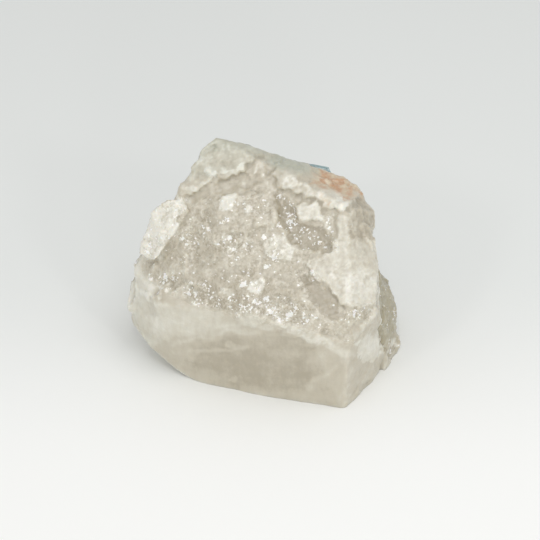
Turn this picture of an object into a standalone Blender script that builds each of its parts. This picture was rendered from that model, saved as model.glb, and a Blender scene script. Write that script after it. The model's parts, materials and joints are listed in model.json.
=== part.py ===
"""Rough aquamarine in matrix: a hand-sized block of quartz with a beryl crystal let into the back of its crest.

Lengths here are millimetres, turned into metres where a mesh is made. +X runs along the block, +Y to its
back and +Z up. The origin lies under the middle of the block, on the surface that it rests on.
"""

import itertools
import math

import bmesh
import bpy
import numpy as np
from mathutils import Matrix, Vector

MM = 0.001

# How finely the broken surface is worked, and how many triangles each piece keeps
GRAIN = 1.0
MATRIX_TRIANGLES = 9700

# How the surface breaks: (size of a facet, how far it tips, how hollow it is, how much less in front)
FRACTURES = [(22, 3.2, 0.8, 0.9), (11, 2.0, 0.4, 0), (5, 0.8, 0.3, 0)]

# The front of the block leans back by this much, and its relief is drawn on a plane leaning the same way
FRONT_LEAN = math.radians(35)
MIDDLE_HEIGHT = 35.0

# The crystal: a stout six-sided prism lying along the crest, sunk into the back of the block
CRYSTAL_WIDTH = 16.0
CRYSTAL_LENGTH = 31.0
CRYSTAL_MIDDLE = (8.5, 23.0, 59.5)
CRYSTAL_SLOPE = math.radians(17)
CRYSTAL_ROLL = math.radians(-52)
CRYSTAL_EDGE = 0.5
POCKET_GAP = 0.3
# (a point on the broken face, the way it faces), along the crystal, across it and up
BREAKS = [
    ((-12.8, 0, 2), (-0.93, 0.2, 0.3)),
    ((-14.5, 0, -2), (-0.9, -0.25, -0.35)),
    ((14.0, 0, 0), (0.96, 0.22, -0.15)),
    ((13.5, -4, 4), (0.8, -0.4, 0.45)),
]

# Corners of the block, level by level
FOOT = [
    (27, -38, -2), (11, -34.5, -2), (-7.5, -29.5, -2), (-24, -23.5, -2), (-35, -18.5, 2), (-44, -13, 8),
    (-38, 20, 7), (-20, 28, 5), (2, 32, 6), (24, 29, 5), (-24, 14, -2), (-10, 21, -2), (10, 24, -2),
    (28, 20, -2), (36, 12, -2), (40.5, -15, -2), (38, -21.5, -2),
]
WAIST = [
    (-52.5, -5, 25), (-51.5, -3, 13), (-47.5, -9, 9.5), (-41, -18, 32.5), (-7.5, -31, 36.5), (16, -38, 34),
    (28.2, -37.6, 26), (43.2, -14, 10), (38.9, -10, 23), (37.8, -5, 36), (-44, 20, 30), (-22, 37, 26),
    (6, 40, 28), (30, 31, 22),
]
SHOULDER = [
    (29, -32.5, 39), (37.4, -27, 38), (36.2, -19, 46.5), (40, -20, 26.5), (37.8, -6.5, 54), (37.4, -1, 47.5),
    (28, -6, 67), (-51.5, -3, 38), (-34, 20, 47), (36, 18, 44),
]
CREST = [
    (-34, 3, 65), (-28.5, 7, 70), (-25, 10, 80.5), (-19.5, 14, 84), (-7.5, 16.5, 79.5), (2, 17, 75.2),
    (12, 17, 69.2), (20, 16, 68.4), (27, 13, 67.2), (32, 10, 66), (39.5, 3, 59), (-20, 25, 68), (0, 28.5, 61),
    (22, 25.5, 54),
]
BODY = FOOT + WAIST + SHOULDER + CREST
# A crust on the left shoulder, above the step where the outline turns in
CRUST = [
    (-42, 2, 61.5), (-38, 2, 64.5), (-33, -0.5, 65.5), (-29.5, -2.6, 64), (-32, -4.4, 60), (-37, -7, 53),
    (-42, -9.6, 46), (-45, -7.4, 44), (-49, -4, 45.5), (-48, -1, 49), (-45.5, 1, 53.5), (-43.5, 2, 58),
    (-34, 8, 56), (-40, 6, 46), (-36, 2, 50),
]
# A lower lump at the back of the right side, parted from the body by a deep crack
LOBE = [
    (39.4, 8, 30.8), (42.2, 7, 25.4), (46.2, 5, 21.4), (48.4, 3, 17), (48.8, -2, 4), (47.6, -5, -2),
    (45, -12, -2), (43, -16, -2), (44.4, -13, 8), (43, -14, 16), (40.4, -14, 25), (38.8, -8, 33),
    (38.2, 0, 36), (44, 18, 18), (46, 17, 8), (41, 26, -2), (36, 28, 16), (30, 12, 30), (30, 20, -2),
    (30, 0, -2),
]


def smooth_step(value, low, high):
    """0 below low, 1 above high, and an even rise between them."""
    share = np.clip((value - low) / (high - low), 0, 1)
    return share * share * (3 - 2 * share)


class Noise:
    """Smooth seeded noise in space, from about -1 to 1."""

    def __init__(self, seed):
        chance = np.random.RandomState(seed)
        self.order = np.tile(chance.permutation(256), 2)
        slopes = chance.normal(size=(256, 3))
        self.slopes = slopes / np.linalg.norm(slopes, axis=1)[:, None]
        self.spots = chance.uniform(size=(256, 3))

    def code(self, cell):
        """A number from 0 to 255 for each cell of a cubic grid."""
        x, y, z = (cell & 255).T
        return self.order[self.order[self.order[x] + y] + z]

    def waves(self, points, size):
        """Rolling noise whose swells are about one size across."""
        spot = points / size
        base = np.floor(spot).astype(int)
        part = spot - base
        ease = part**3 * (part * (part * 6 - 15) + 10)
        total = np.zeros(len(points))
        for corner in itertools.product((0, 1), repeat=3):
            weight = np.prod(np.where(corner, ease, 1 - ease), axis=1)
            slope = self.slopes[self.code(base + np.array(corner))]
            total += weight * np.einsum("ij,ij->i", part - corner, slope)
        return total * 1.6

    def rough(self, points, size, octaves=3):
        """Rolling noise with finer and fainter noise on it."""
        return sum(self.waves(points + 31.7 * k, size / 2**k) / 2**k for k in range(octaves))

    def chips(self, points, size):
        """(distance to the nearest seed, tilt of its facet) on a grid of seeds one size apart."""
        spot = points / size
        base = np.floor(spot).astype(int)
        nearest = np.full(len(points), np.inf)
        tilt = np.zeros(len(points))
        for step in itertools.product((-1, 0, 1), repeat=3):
            cell = base + np.array(step)
            code = self.code(cell)
            offset = spot - (cell + self.spots[code])
            distance = np.linalg.norm(offset, axis=1)
            slope = np.einsum("ij,ij->i", offset, self.slopes[code])
            closer = distance < nearest
            nearest = np.where(closer, distance, nearest)
            tilt = np.where(closer, slope, tilt)
        return nearest, tilt


def depth_inside(points, outline):
    """How far each point lies inside a closed outline, and below zero outside it."""
    corners = np.array(outline, float)
    nearest = np.full(len(points), np.inf)
    inside = np.zeros(len(points), bool)
    for start, end in zip(corners, np.roll(corners, -1, axis=0)):
        side, offset = end - start, points - start
        along = np.clip(offset @ side / (side @ side), 0, 1)
        nearest = np.minimum(nearest, np.linalg.norm(offset - along[:, None] * side, axis=1))
        crosses = (start[1] > points[:, 1]) != (end[1] > points[:, 1])
        rise = side[1] if side[1] else 1e-9
        inside ^= crosses & (points[:, 0] < start[0] + (points[:, 1] - start[1]) * side[0] / rise)
    return np.where(inside, nearest, -nearest)


def distance_to_line(points, line):
    """How far each point lies from an open line of straight runs."""
    nearest = np.full(len(points), np.inf)
    for start, end in zip(np.array(line[:-1], float), np.array(line[1:], float)):
        side, offset = end - start, points - start
        along = np.clip(offset @ side / (side @ side), 0, 1)
        nearest = np.minimum(nearest, np.linalg.norm(offset - along[:, None] * side, axis=1))
    return nearest


class Side:
    """One side of the block, with the relief drawn on it: across and up in its own plane, raised outwards."""

    def __init__(self, turn, lean, middle, seed, ragged=0.9):
        facing = Vector((math.sin(turn), -math.cos(turn), 0))
        self.across = np.array((math.cos(turn), math.sin(turn), 0))
        self.up = np.array(facing * -math.sin(lean) + Vector((0, 0, math.cos(lean))))
        self.out = np.array(facing * math.cos(lean) + Vector((0, 0, math.sin(lean))))
        self.middle = np.array(middle, float)
        self.noise = Noise(seed)
        self.ragged = ragged
        self.relief = []

    def plate(self, outline, rise, edge=1.0):
        """A sheet left standing proud inside an outline, or a bed broken out of it where rise is negative."""
        self.relief.append(lambda flat: rise * smooth_step(depth_inside(flat, outline), -edge / 2, edge / 2))

    def groove(self, line, depth, width):
        """A hollow along a line, deepest in the middle."""
        self.relief.append(
            lambda flat: -depth * (1 - smooth_step(distance_to_line(flat, line), 0, width / 2))
        )

    def dish(self, centre, size, depth):
        """A shell-shaped hollow with a sharp rim, as where a flake flew off."""
        self.relief.append(
            lambda flat: -depth * np.clip(1 - np.sum(((flat - centre) / size) ** 2, axis=1), 0, 1)
        )

    def raise_points(self, points, normals):
        """The points, moved out or in by this side's relief where they face it."""
        flat = np.stack([(points - self.middle) @ self.across, (points - self.middle) @ self.up], axis=1)
        ragged = [self.noise.rough(points + shift, 7.0) for shift in (0, 90.5)]
        flat = flat + self.ragged * np.stack(ragged, axis=1)
        height = sum(shape(flat) for shape in self.relief)
        facing = smooth_step(normals @ self.out, 0.02, 0.3)
        return points + (height * facing)[:, None] * self.out


def front_side():
    """The long front, which the light catches: broken steps above, one smooth cleft face below."""
    side = Side(0, FRONT_LEAN, (0, 0, MIDDLE_HEIGHT), seed=3, ragged=0.7)
    # The smooth trough that crosses the front below the cap
    side.plate(
        [(-31, 25.5), (-26, 28.5), (-21, 31), (-15, 32.8), (-9, 34.5), (-4, 37.5), (0, 41), (3, 46), (8, 44),
         (5, 40), (1, 36.5), (-3, 32.5), (-6, 29.8), (-13, 28.5), (-20, 27), (-26, 25)],
        -1.8, edge=2.2,
    )
    # The cap at the left end of the crest, with a lower sheet under it on the left
    side.plate(
        [(-36, 31), (-29, 33.5), (-25, 35.5), (-21, 34.6), (-17, 33.6), (-13, 34), (-9.5, 36.4), (-7.5, 39),
         (-3.5, 42), (0, 50), (-30, 56), (-38, 40)],
        1.3,
    )
    side.plate(
        [(-41, 23), (-36, 26.5), (-31, 27.5), (-27, 29.5), (-24, 31.5), (-20, 33), (-14, 34), (-8, 38), (0, 50),
         (-30, 56), (-46, 36)],
        1.0,
    )
    side.dish((-2, 42), (7, 4), 1.2)
    # The broken sheet below the trough, in two layers
    side.plate(
        [(-18.5, 26.5), (-14, 27.5), (-8, 28), (-2, 28), (0.8, 27), (2.2, 23.5), (4, 19), (5.2, 15), (7.6, 11),
         (9.4, 7.5), (8.5, 4.6), (5, 3.6), (1, 4.4), (-1.5, 6.5), (-2.8, 9.5), (-5, 11), (-9, 12.3),
         (-12.5, 14), (-17.5, 14.6), (-20, 16), (-19.8, 19), (-18.2, 21.5), (-19.4, 24)],
        1.1,
    )
    side.plate(
        [(-17.5, 26.2), (-10, 27), (-1, 26.5), (1, 23), (3, 18.5), (1, 14.5), (-4, 15), (-9, 17), (-13.5, 19.5),
         (-16, 22)],
        0.6,
    )
    side.groove([(-22, 26), (-22.5, 20), (-21.5, 14)], 1.0, 3)
    # The pit and the flake left in it
    side.plate(
        [(1, 27.5), (5, 27), (7.4, 24), (8.6, 20), (9.4, 17.2), (13.5, 16.4), (17.5, 15.2), (21, 12.2),
         (22.4, 9.4), (20.5, 7.6), (15, 6.8), (10.5, 8.6), (7.6, 11), (5.2, 15), (3.2, 19.5), (1.6, 24)],
        -2.4, edge=1.4,
    )
    side.plate(
        [(9.2, 23.2), (11.5, 24.6), (14.8, 25), (18.2, 23.6), (18.8, 20.5), (18.4, 17.6), (14.5, 17.3),
         (11, 18.2), (9.4, 20)],
        1.2,
    )
    # The block that overhangs the pit, and the step above it
    side.plate(
        [(4.5, 29), (8, 27.8), (12, 27), (15.5, 26), (18.5, 24.2), (20.5, 22.6), (24.5, 21.2), (28, 21.6),
         (29.2, 24.5), (31.5, 26.5), (36, 27.5), (42, 30), (42, 44), (24, 50), (4, 50), (1.5, 34)],
        2.0,
    )
    side.plate(
        [(7, 30), (12, 30.5), (16, 31.4), (20, 33), (24, 33.6), (28.5, 30.6), (33, 31), (38, 34), (30, 46),
         (6, 48), (3.5, 37)],
        1.0,
    )
    # The white sheet on the right, with its broken lower edge
    side.plate(
        [(24.2, 21), (28.5, 20.5), (33, 22.5), (38, 22), (44, 18), (44, -8), (38.7, -12), (35.5, -13.6),
         (32, -14.2), (29.5, -12.6), (26.8, -12), (24.4, -9.8), (21.8, -7), (18.8, -4.6), (16, -2.4),
         (13.8, 0.6), (14.5, 3.4), (18, 4), (21, 7), (23, 9.5), (24, 14)],
        1.5,
    )
    side.plate(
        [(12, -2.5), (15, -3.6), (18.5, -5.4), (21.5, -8.2), (24.2, -11), (27, -13.4), (27.4, -16), (22, -15),
         (17, -13.2), (13, -10.5), (11.6, -6.5)],
        -1.0, edge=1.8,
    )
    # The crust at the left end
    side.plate(
        [(-43, 26), (-38.5, 27.6), (-34, 26.6), (-30.6, 25), (-30.8, 21.6), (-33, 19), (-36, 16.2),
         (-37.2, 13), (-39.6, 10), (-41, 7), (-42.4, 4.6), (-46, 4.6), (-50, 8), (-50, 18)],
        1.1,
    )
    # Shell-shaped scars on the slope
    side.dish((-36.5, -4.5), (7.5, 3.6), 1.5)
    side.dish((3, -10.5), (6, 3.4), 1.0)
    side.dish((-14, 0), (9, 5), 0.9)
    side.dish((-26, 8), (6, 8), 0.9)
    side.dish((8, -3), (7, 4), 0.8)
    return side


def back_side():
    """The back: the bed that the crystal lies in, and broken steps under it."""
    side = Side(math.pi, math.radians(15), (0, 0, MIDDLE_HEIGHT), seed=8, ragged=1.2)
    side.plate(
        [(-25, 3), (-12, 5), (0, 8), (8, 12), (7, 26), (-4, 32), (-20, 26), (-28, 16)],
        -1.4, edge=2.4,
    )
    side.plate([(-30, -36), (-34, -4), (-22, 2), (-6, 0), (8, 5), (16, -4), (12, -36)], 2.0)
    side.plate([(-24, -36), (-20, -12), (-4, -18), (2, -36)], 1.8)
    side.plate([(20, 22), (30, 30), (44, 20), (46, -2), (34, -10), (24, 4)], 1.4)
    side.dish((24, 14), (9, 7), 1.4)
    side.dish((-30, -12), (8, 10), 1.4)
    return side


def left_side():
    """The narrow left end."""
    side = Side(-math.pi / 2, math.radians(10), (0, 0, MIDDLE_HEIGHT), seed=12)
    side.plate([(-2, 4), (8, 12), (18, 4), (14, -10), (2, -12)], -1.2)
    side.dish((8, -16), (9, 6), 1.5)
    side.dish((-8, 20), (7, 7), 1.4)
    return side


def right_side():
    """The right end, above the lump, and the crack between the two."""
    side = Side(math.pi / 2, math.radians(10), (0, 0, MIDDLE_HEIGHT), seed=15)
    side.plate([(2, 26), (12, 18), (10, 6), (-2, 8), (-6, 18)], -1.2)
    side.plate([(-13, -7), (-15, 4), (-8, 13), (3, 11), (9, 3), (8, -5), (0, -6), (-6, -9)], -1.5, edge=4)
    side.groove(
        [
            (-14.4, -32), (-17, -24), (-19.5, -17), (-17.5, -12.7), (-14, -9.2), (-10, -5.8), (-4, -1.5),
            (4, 1),
        ],
        2.4, 3,
    )
    side.dish((14, -14), (7, 9), 1.4)
    return side


def mesh_arrays(mesh):
    """(points in millimetres, normals) of a mesh's corners."""
    points = np.empty(len(mesh.vertices) * 3)
    mesh.vertices.foreach_get("co", points)
    normals = np.empty(len(mesh.vertices) * 3)
    mesh.vertex_normals.foreach_get("vector", normals)
    return points.reshape(-1, 3) / MM, normals.reshape(-1, 3)


def store_points(mesh, points):
    """Puts the points, in millimetres, back into the mesh."""
    mesh.vertices.foreach_set("co", (points * MM).ravel())
    mesh.update()


def evaluated_mesh(obj):
    """A new mesh of the object as its modifiers leave it."""
    graph = bpy.context.evaluated_depsgraph_get()
    return bpy.data.meshes.new_from_object(obj.evaluated_get(graph), depsgraph=graph)


def link(name, mesh):
    """A new object in the scene."""
    obj = bpy.data.objects.new(name, mesh)
    bpy.context.scene.collection.objects.link(obj)
    return obj


def hull(bm, corners):
    """Adds the closed block that stands on these corners."""
    points = [bm.verts.new(Vector(corner) * MM) for corner in corners]
    made = bmesh.ops.convex_hull(bm, input=points)
    spare = {v for v in made["geom_interior"] + made["geom_unused"] if isinstance(v, bmesh.types.BMVert)}
    bmesh.ops.delete(bm, geom=list(spare), context="VERTS")


def skinned(mesh):
    """One closed and evenly spaced skin over everything in the mesh."""
    rough = link("rough", mesh)
    skin = rough.modifiers.new("skin", "REMESH")
    skin.mode = "VOXEL"
    skin.voxel_size = GRAIN * MM
    even = evaluated_mesh(rough)
    bpy.data.objects.remove(rough)
    return even


def rough_block():
    """The block's blank: its lumps grown into one."""
    bm = bmesh.new()
    for corners in (BODY, CRUST, LOBE):
        hull(bm, corners)
    mesh = bpy.data.meshes.new("blank")
    bm.to_mesh(mesh)
    bm.free()
    return skinned(mesh)


def break_surface(mesh):
    """Gives the smooth blank its broken surface: swells, chipped facets, then each side's own relief."""
    noise = Noise(21)
    points, normals = mesh_arrays(mesh)
    front = smooth_step(27 - points[:, 1], 0, 11) * (1 - 0.5 * smooth_step(np.abs(normals[:, 0]), 0.65, 0.9))
    cleft = smooth_step(-normals[:, 1], 0.25, 0.5)
    cleft *= 1 - smooth_step(points[:, 2] + 0.15 * points[:, 0], 29, 34)
    under = smooth_step(-normals[:, 2], 0.3, 0.6)
    ragged = (1 - 0.5 * front - 0.42 * cleft) * (1 - 0.8 * under)
    height = 0.6 * noise.rough(points, 26)
    for size, facet, hollow, share in FRACTURES:
        distance, tilt = noise.chips(points + 0.2 * size * noise.waves(points, 0.8 * size)[:, None], size)
        height += ragged * (facet * tilt + hollow * (distance**2 - 0.3)) * (1 - share * front)
    store_points(mesh, points + height[:, None] * normals)
    for side in (front_side(), back_side(), left_side(), right_side()):
        points, normals = mesh_arrays(mesh)
        store_points(mesh, side.raise_points(points, normals))


def thinned(mesh, triangles):
    """The mesh with only as many triangles as it is given, kept where the surface bends most."""
    heavy = link("heavy", mesh)
    mesh.calc_loop_triangles()
    thin = heavy.modifiers.new("thin", "DECIMATE")
    thin.ratio = triangles / len(mesh.loop_triangles)
    light = evaluated_mesh(heavy)
    bpy.data.objects.remove(heavy)
    return light


def ground_flat(mesh):
    """Cuts the underside off level and closes the cut, so that the block stands on a flat at height 0."""
    bm = bmesh.new()
    bm.from_mesh(mesh)
    everything = bm.verts[:] + bm.edges[:] + bm.faces[:]
    cut = bmesh.ops.bisect_plane(bm, geom=everything, plane_co=(0, 0, 0), plane_no=(0, 0, -1), clear_outer=True)
    rim = [e for e in cut["geom_cut"] if isinstance(e, bmesh.types.BMEdge)]
    bmesh.ops.triangle_fill(bm, edges=rim, use_beauty=True, normal=(0, 0, -1))
    bmesh.ops.recalc_face_normals(bm, faces=bm.faces[:])
    bm.to_mesh(mesh)
    bm.free()


def crystal_outline(width):
    """The corners of the crystal's six-sided section, whose sides are of slightly unlike widths."""
    corner = width / math.sqrt(3)
    spread = (1.0, 0.94, 1.03, 0.98, 1.05, 0.95)
    angles = (0, 58, 121, 181, 238, 301)
    return [
        (-corner * share * math.sin(math.radians(angle)), corner * share * math.cos(math.radians(angle)))
        for share, angle in zip(spread, angles)
    ]


def crystal_object(name, gap=0.0):
    """The crystal, or the cutter of the pocket that it lies in where gap is more than 0."""
    bm = bmesh.new()
    half = CRYSTAL_LENGTH / 2 + gap
    ends = [
        [bm.verts.new(Vector((end, across, up)) * MM) for across, up in crystal_outline(CRYSTAL_WIDTH + 2 * gap)]
        for end in (-half, half)
    ]
    for k in range(6):
        bm.faces.new((ends[0][k], ends[0][k - 1], ends[1][k - 1], ends[1][k]))
    for end in ends:
        bm.faces.new(end)
    # Each end broke off across two uneven faces
    for where, facing in BREAKS:
        everything = bm.verts[:] + bm.edges[:] + bm.faces[:]
        place = Vector(where) + gap * Vector(facing).normalized()
        cut = bmesh.ops.bisect_plane(bm, geom=everything, plane_co=place * MM, plane_no=facing, clear_outer=True)
        rim = [e for e in cut["geom_cut"] if isinstance(e, bmesh.types.BMEdge)]
        bmesh.ops.contextual_create(bm, geom=rim)
    bmesh.ops.recalc_face_normals(bm, faces=bm.faces[:])
    bmesh.ops.bevel(bm, geom=bm.edges[:], offset=CRYSTAL_EDGE * MM, segments=2, affect="EDGES")
    bmesh.ops.triangulate(bm, faces=bm.faces[:])
    bm.transform(
        Matrix.Translation(Vector(CRYSTAL_MIDDLE) * MM)
        @ Matrix.Rotation(CRYSTAL_SLOPE, 4, "Y")
        @ Matrix.Rotation(CRYSTAL_ROLL, 4, "X")
    )
    mesh = bpy.data.meshes.new(name)
    bm.to_mesh(mesh)
    bm.free()
    return link(name, mesh)


def material(name, colour, roughness):
    """A plain dielectric finish."""
    made = bpy.data.materials.new(name)
    made.use_nodes = True
    shader = made.node_tree.nodes["Principled BSDF"]
    shader.inputs["Base Color"].default_value = (*colour, 1)
    shader.inputs["Roughness"].default_value = roughness
    shader.inputs["Metallic"].default_value = 0
    return made


def make_matrix():
    """The block of quartz, and the cutter of its pocket for the crystal."""
    skin = rough_block()
    break_surface(skin)
    light = thinned(skinned(skin), MATRIX_TRIANGLES)
    ground_flat(light)
    block = link("quartz_matrix", light)
    pocket = crystal_object("pocket_cutter", gap=POCKET_GAP)
    cut = block.modifiers.new("pocket", "BOOLEAN")
    cut.operation = "DIFFERENCE"
    cut.object = pocket
    pocket.hide_render = True
    pocket.display_type = "WIRE"
    block.data.materials.append(material("milky quartz", (0.60, 0.57, 0.49), 0.35))
    return block, pocket


def make_crystal():
    """The aquamarine."""
    crystal = crystal_object("aquamarine_crystal")
    crystal.data.materials.append(material("aquamarine", (0.42, 0.66, 0.64), 0.12))
    return crystal


def centre_over_origin(objects, block):
    """Moves everything sideways together, so that the origin lies under the middle of the block."""
    corners = np.array([tuple(corner) for corner in block.bound_box])
    middle = (corners.min(axis=0) + corners.max(axis=0)) / 2
    for obj in objects:
        obj.data.transform(Matrix.Translation((-middle[0], -middle[1], 0)))


def clear_scene():
    """Starts from an empty scene."""
    for obj in list(bpy.data.objects):
        bpy.data.objects.remove(obj)


clear_scene()
block, pocket = make_matrix()
crystal = make_crystal()
centre_over_origin((block, pocket, crystal), block)
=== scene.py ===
"""Rough aquamarine in matrix, dressed: milky quartz with a beryl crystal let into the back of its crest.

Lengths are millimetres, in the block's own frame as it was drawn: +X along the block, +Y to its back and
+Z up. The finished pieces are moved sideways together, so that they stand where the fixed frame has them.
"""

import itertools
import json
import logging
import math
from dataclasses import dataclass
from enum import Enum

import bpy
import numpy as np
from mathutils import Matrix, Vector

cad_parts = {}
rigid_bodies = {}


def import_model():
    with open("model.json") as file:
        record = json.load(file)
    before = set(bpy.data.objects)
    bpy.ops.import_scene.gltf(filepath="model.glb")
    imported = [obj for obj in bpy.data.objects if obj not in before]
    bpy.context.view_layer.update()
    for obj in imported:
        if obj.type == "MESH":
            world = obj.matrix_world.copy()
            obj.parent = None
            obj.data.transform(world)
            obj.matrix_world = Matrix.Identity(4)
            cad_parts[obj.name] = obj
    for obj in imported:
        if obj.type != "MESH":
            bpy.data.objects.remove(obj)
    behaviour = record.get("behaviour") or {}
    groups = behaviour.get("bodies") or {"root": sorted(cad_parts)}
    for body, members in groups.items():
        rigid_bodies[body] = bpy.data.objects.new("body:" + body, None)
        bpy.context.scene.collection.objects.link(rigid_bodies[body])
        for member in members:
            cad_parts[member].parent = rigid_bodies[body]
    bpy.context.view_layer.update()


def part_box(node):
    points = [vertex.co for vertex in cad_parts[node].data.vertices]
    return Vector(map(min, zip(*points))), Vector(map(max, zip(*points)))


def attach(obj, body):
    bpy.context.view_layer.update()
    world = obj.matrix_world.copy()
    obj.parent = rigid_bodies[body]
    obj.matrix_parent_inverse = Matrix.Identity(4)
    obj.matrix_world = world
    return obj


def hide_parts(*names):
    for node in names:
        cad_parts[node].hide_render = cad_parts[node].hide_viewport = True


MM = 0.001
# Points nearer a cut than this, in metres, count as on it
CUT_TOLERANCE = 1e-6
FRONT_LEAN = math.radians(35)
LOG = logging.getLogger("rough_aquamarine")

Point = tuple[float, float, float]
Outline = tuple[tuple[float, float], ...]
Colour = tuple[float, float, float]

# The crystal's own attribute, from 0 on its clean faces to 1 where it is worn and frosted
WORN = "worn"

# A patch with a softer edge than this, or a streak wider than that, is a veil inside the quartz
SOFT_EDGE = 1.5
WIDE_STREAK = 2.7


class Zone(Enum):
    """What the block's mesh says of the quartz at each point, as an attribute from about 0 to 1."""

    MILK = "milk"
    GLITTER = "glitter"
    STAIN = "stain"
    GREEN = "green"
    OLIVE = "olive"
    # Painted highlight on ridges and painted shade in hollows, from how far each point stands out
    RIDGE_SHADE = "ridge_shade"


def smooth_step(value: np.ndarray, low: float, high: float) -> np.ndarray:
    """0 below low, 1 above high, and an even rise between them."""
    share = np.clip((value - low) / (high - low), 0, 1)
    return share * share * (3 - 2 * share)


def depth_inside(flat: np.ndarray, outline: Outline) -> np.ndarray:
    """How far flat points lie inside a closed outline.

    Args:
        flat: points in a side's plane, one to a row.
        outline: the corners, in order.

    Returns:
        The distance to the outline, below zero outside it.
    """
    corners = np.array(outline, float)
    nearest = np.full(len(flat), np.inf)
    inside = np.zeros(len(flat), bool)
    for start, end in zip(corners, np.roll(corners, -1, axis=0)):
        side, offset = end - start, flat - start
        along = np.clip(offset @ side / (side @ side), 0, 1)
        nearest = np.minimum(nearest, np.linalg.norm(offset - along[:, None] * side, axis=1))
        crosses = (start[1] > flat[:, 1]) != (end[1] > flat[:, 1])
        rise = side[1] if side[1] else 1e-9
        inside ^= crosses & (flat[:, 0] < start[0] + (flat[:, 1] - start[1]) * side[0] / rise)
    return np.where(inside, nearest, -nearest)


def distance_to_line(flat: np.ndarray, line: Outline) -> np.ndarray:
    """How far flat points lie from an open line.

    Args:
        flat: points in a side's plane, one to a row.
        line: the line's corners, in order.

    Returns:
        The distance to the nearest point of the line.
    """
    nearest = np.full(len(flat), np.inf)
    for start, end in zip(np.array(line[:-1], float), np.array(line[1:], float)):
        side, offset = end - start, flat - start
        along = np.clip(offset @ side / (side @ side), 0, 1)
        nearest = np.minimum(nearest, np.linalg.norm(offset - along[:, None] * side, axis=1))
    return nearest


class Noise:
    """Smooth seeded noise in space."""

    strength: float = 1.6
    octave_shift: float = 31.7

    def __init__(self, seed: int) -> None:
        """Draws the tables that the noise is made from.

        Args:
            seed: the number that settles them.
        """
        chance = np.random.RandomState(seed)
        self.order = np.tile(chance.permutation(256), 2)
        slopes = chance.normal(size=(256, 3))
        self.slopes = slopes / np.linalg.norm(slopes, axis=1)[:, None]
        self.spots = chance.uniform(size=(256, 3))

    def code(self, cell: np.ndarray) -> np.ndarray:
        """A number from 0 to 255 for each cell of a cubic grid."""
        x, y, z = (cell & 255).T
        return self.order[self.order[self.order[x] + y] + z]

    def waves(self, points: np.ndarray, size: float) -> np.ndarray:
        """Rolling noise from about -1 to 1.

        Args:
            points: where it is wanted, one to a row.
            size: the width of a swell.

        Returns:
            One value to a point.
        """
        spot = points / size
        base = np.floor(spot).astype(int)
        part = spot - base
        ease = part**3 * (part * (part * 6 - 15) + 10)
        total = np.zeros(len(points))
        for corner in itertools.product((0, 1), repeat=3):
            weight = np.prod(np.where(corner, ease, 1 - ease), axis=1)
            slope = self.slopes[self.code(base + np.array(corner))]
            total += weight * np.einsum("ij,ij->i", part - corner, slope)
        return total * self.strength

    def rough(self, points: np.ndarray, size: float, octaves: int = 3) -> np.ndarray:
        """Rolling noise with finer and fainter noise on it.

        Args:
            points: where it is wanted, one to a row.
            size: the width of the largest swell.
            octaves: how many sizes of swell it has.

        Returns:
            One value to a point.
        """
        shift = self.octave_shift
        return sum(self.waves(points + shift * k, size / 2**k) / 2**k for k in range(octaves))

    def stray(self, points: np.ndarray, size: float, shift: float) -> np.ndarray:
        """Two unlike rolling noises, to stray by across and up a plane.

        Args:
            points: where they are wanted, one to a row.
            size: the width of the largest swell.
            shift: how far apart in space the two are read.

        Returns:
            Two values to a point.
        """
        return np.stack([self.rough(points + away, size) for away in (0, shift)], axis=1)

    def chips(self, points: np.ndarray, size: float) -> "Chips":
        """Broken facets, each round a seed of its own.

        Args:
            points: where they are wanted, one to a row.
            size: the width of a facet.

        Returns:
            What each point has from its facet.
        """
        spot = points / size
        base = np.floor(spot).astype(int)
        nearest = np.full(len(points), np.inf)
        offset = np.zeros((len(points), 3))
        code = np.zeros(len(points), int)
        for step in itertools.product((-1, 0, 1), repeat=3):
            cell = base + np.array(step)
            other = self.code(cell)
            away = spot - (cell + self.spots[other])
            distance = np.linalg.norm(away, axis=1)
            closer = distance < nearest
            nearest = np.where(closer, distance, nearest)
            offset[closer] = away[closer]
            code[closer] = other[closer]
        return Chips(
            distance=nearest,
            tilt=np.einsum("ij,ij->i", offset, self.slopes[code]),
            shade=self.spots[code, 0],
            seat=points - offset * size,
        )


@dataclass(frozen=True)
class Chips:
    """What points have from their broken facets."""

    distance: np.ndarray
    tilt: np.ndarray
    shade: np.ndarray
    seat: np.ndarray


@dataclass(frozen=True)
class Sheet:
    """A sheet of quartz left standing proud, or a bed broken out of it where its rise is below 0."""

    outline: Outline
    rise: float
    edge: float = 0.8

    def height(self, flat: np.ndarray) -> np.ndarray:
        """How far each flat point is raised."""
        return self.rise * smooth_step(depth_inside(flat, self.outline), -self.edge / 2, self.edge / 2)


@dataclass(frozen=True)
class Groove:
    """A hollow along a line, deepest in the middle."""

    line: Outline
    depth: float
    width: float

    def height(self, flat: np.ndarray) -> np.ndarray:
        """How far each flat point is raised."""
        return -self.depth * (1 - smooth_step(distance_to_line(flat, self.line), 0, self.width / 2))


@dataclass(frozen=True)
class Scar:
    """A shell-shaped hollow with a sharp rim, as where a flake flew off."""

    centre: tuple[float, float]
    size: tuple[float, float]
    depth: float

    def height(self, flat: np.ndarray) -> np.ndarray:
        """How far each flat point is raised."""
        reach = np.sum(((flat - self.centre) / self.size) ** 2, axis=1)
        return -self.depth * np.clip(1 - reach, 0, 1)


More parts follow.
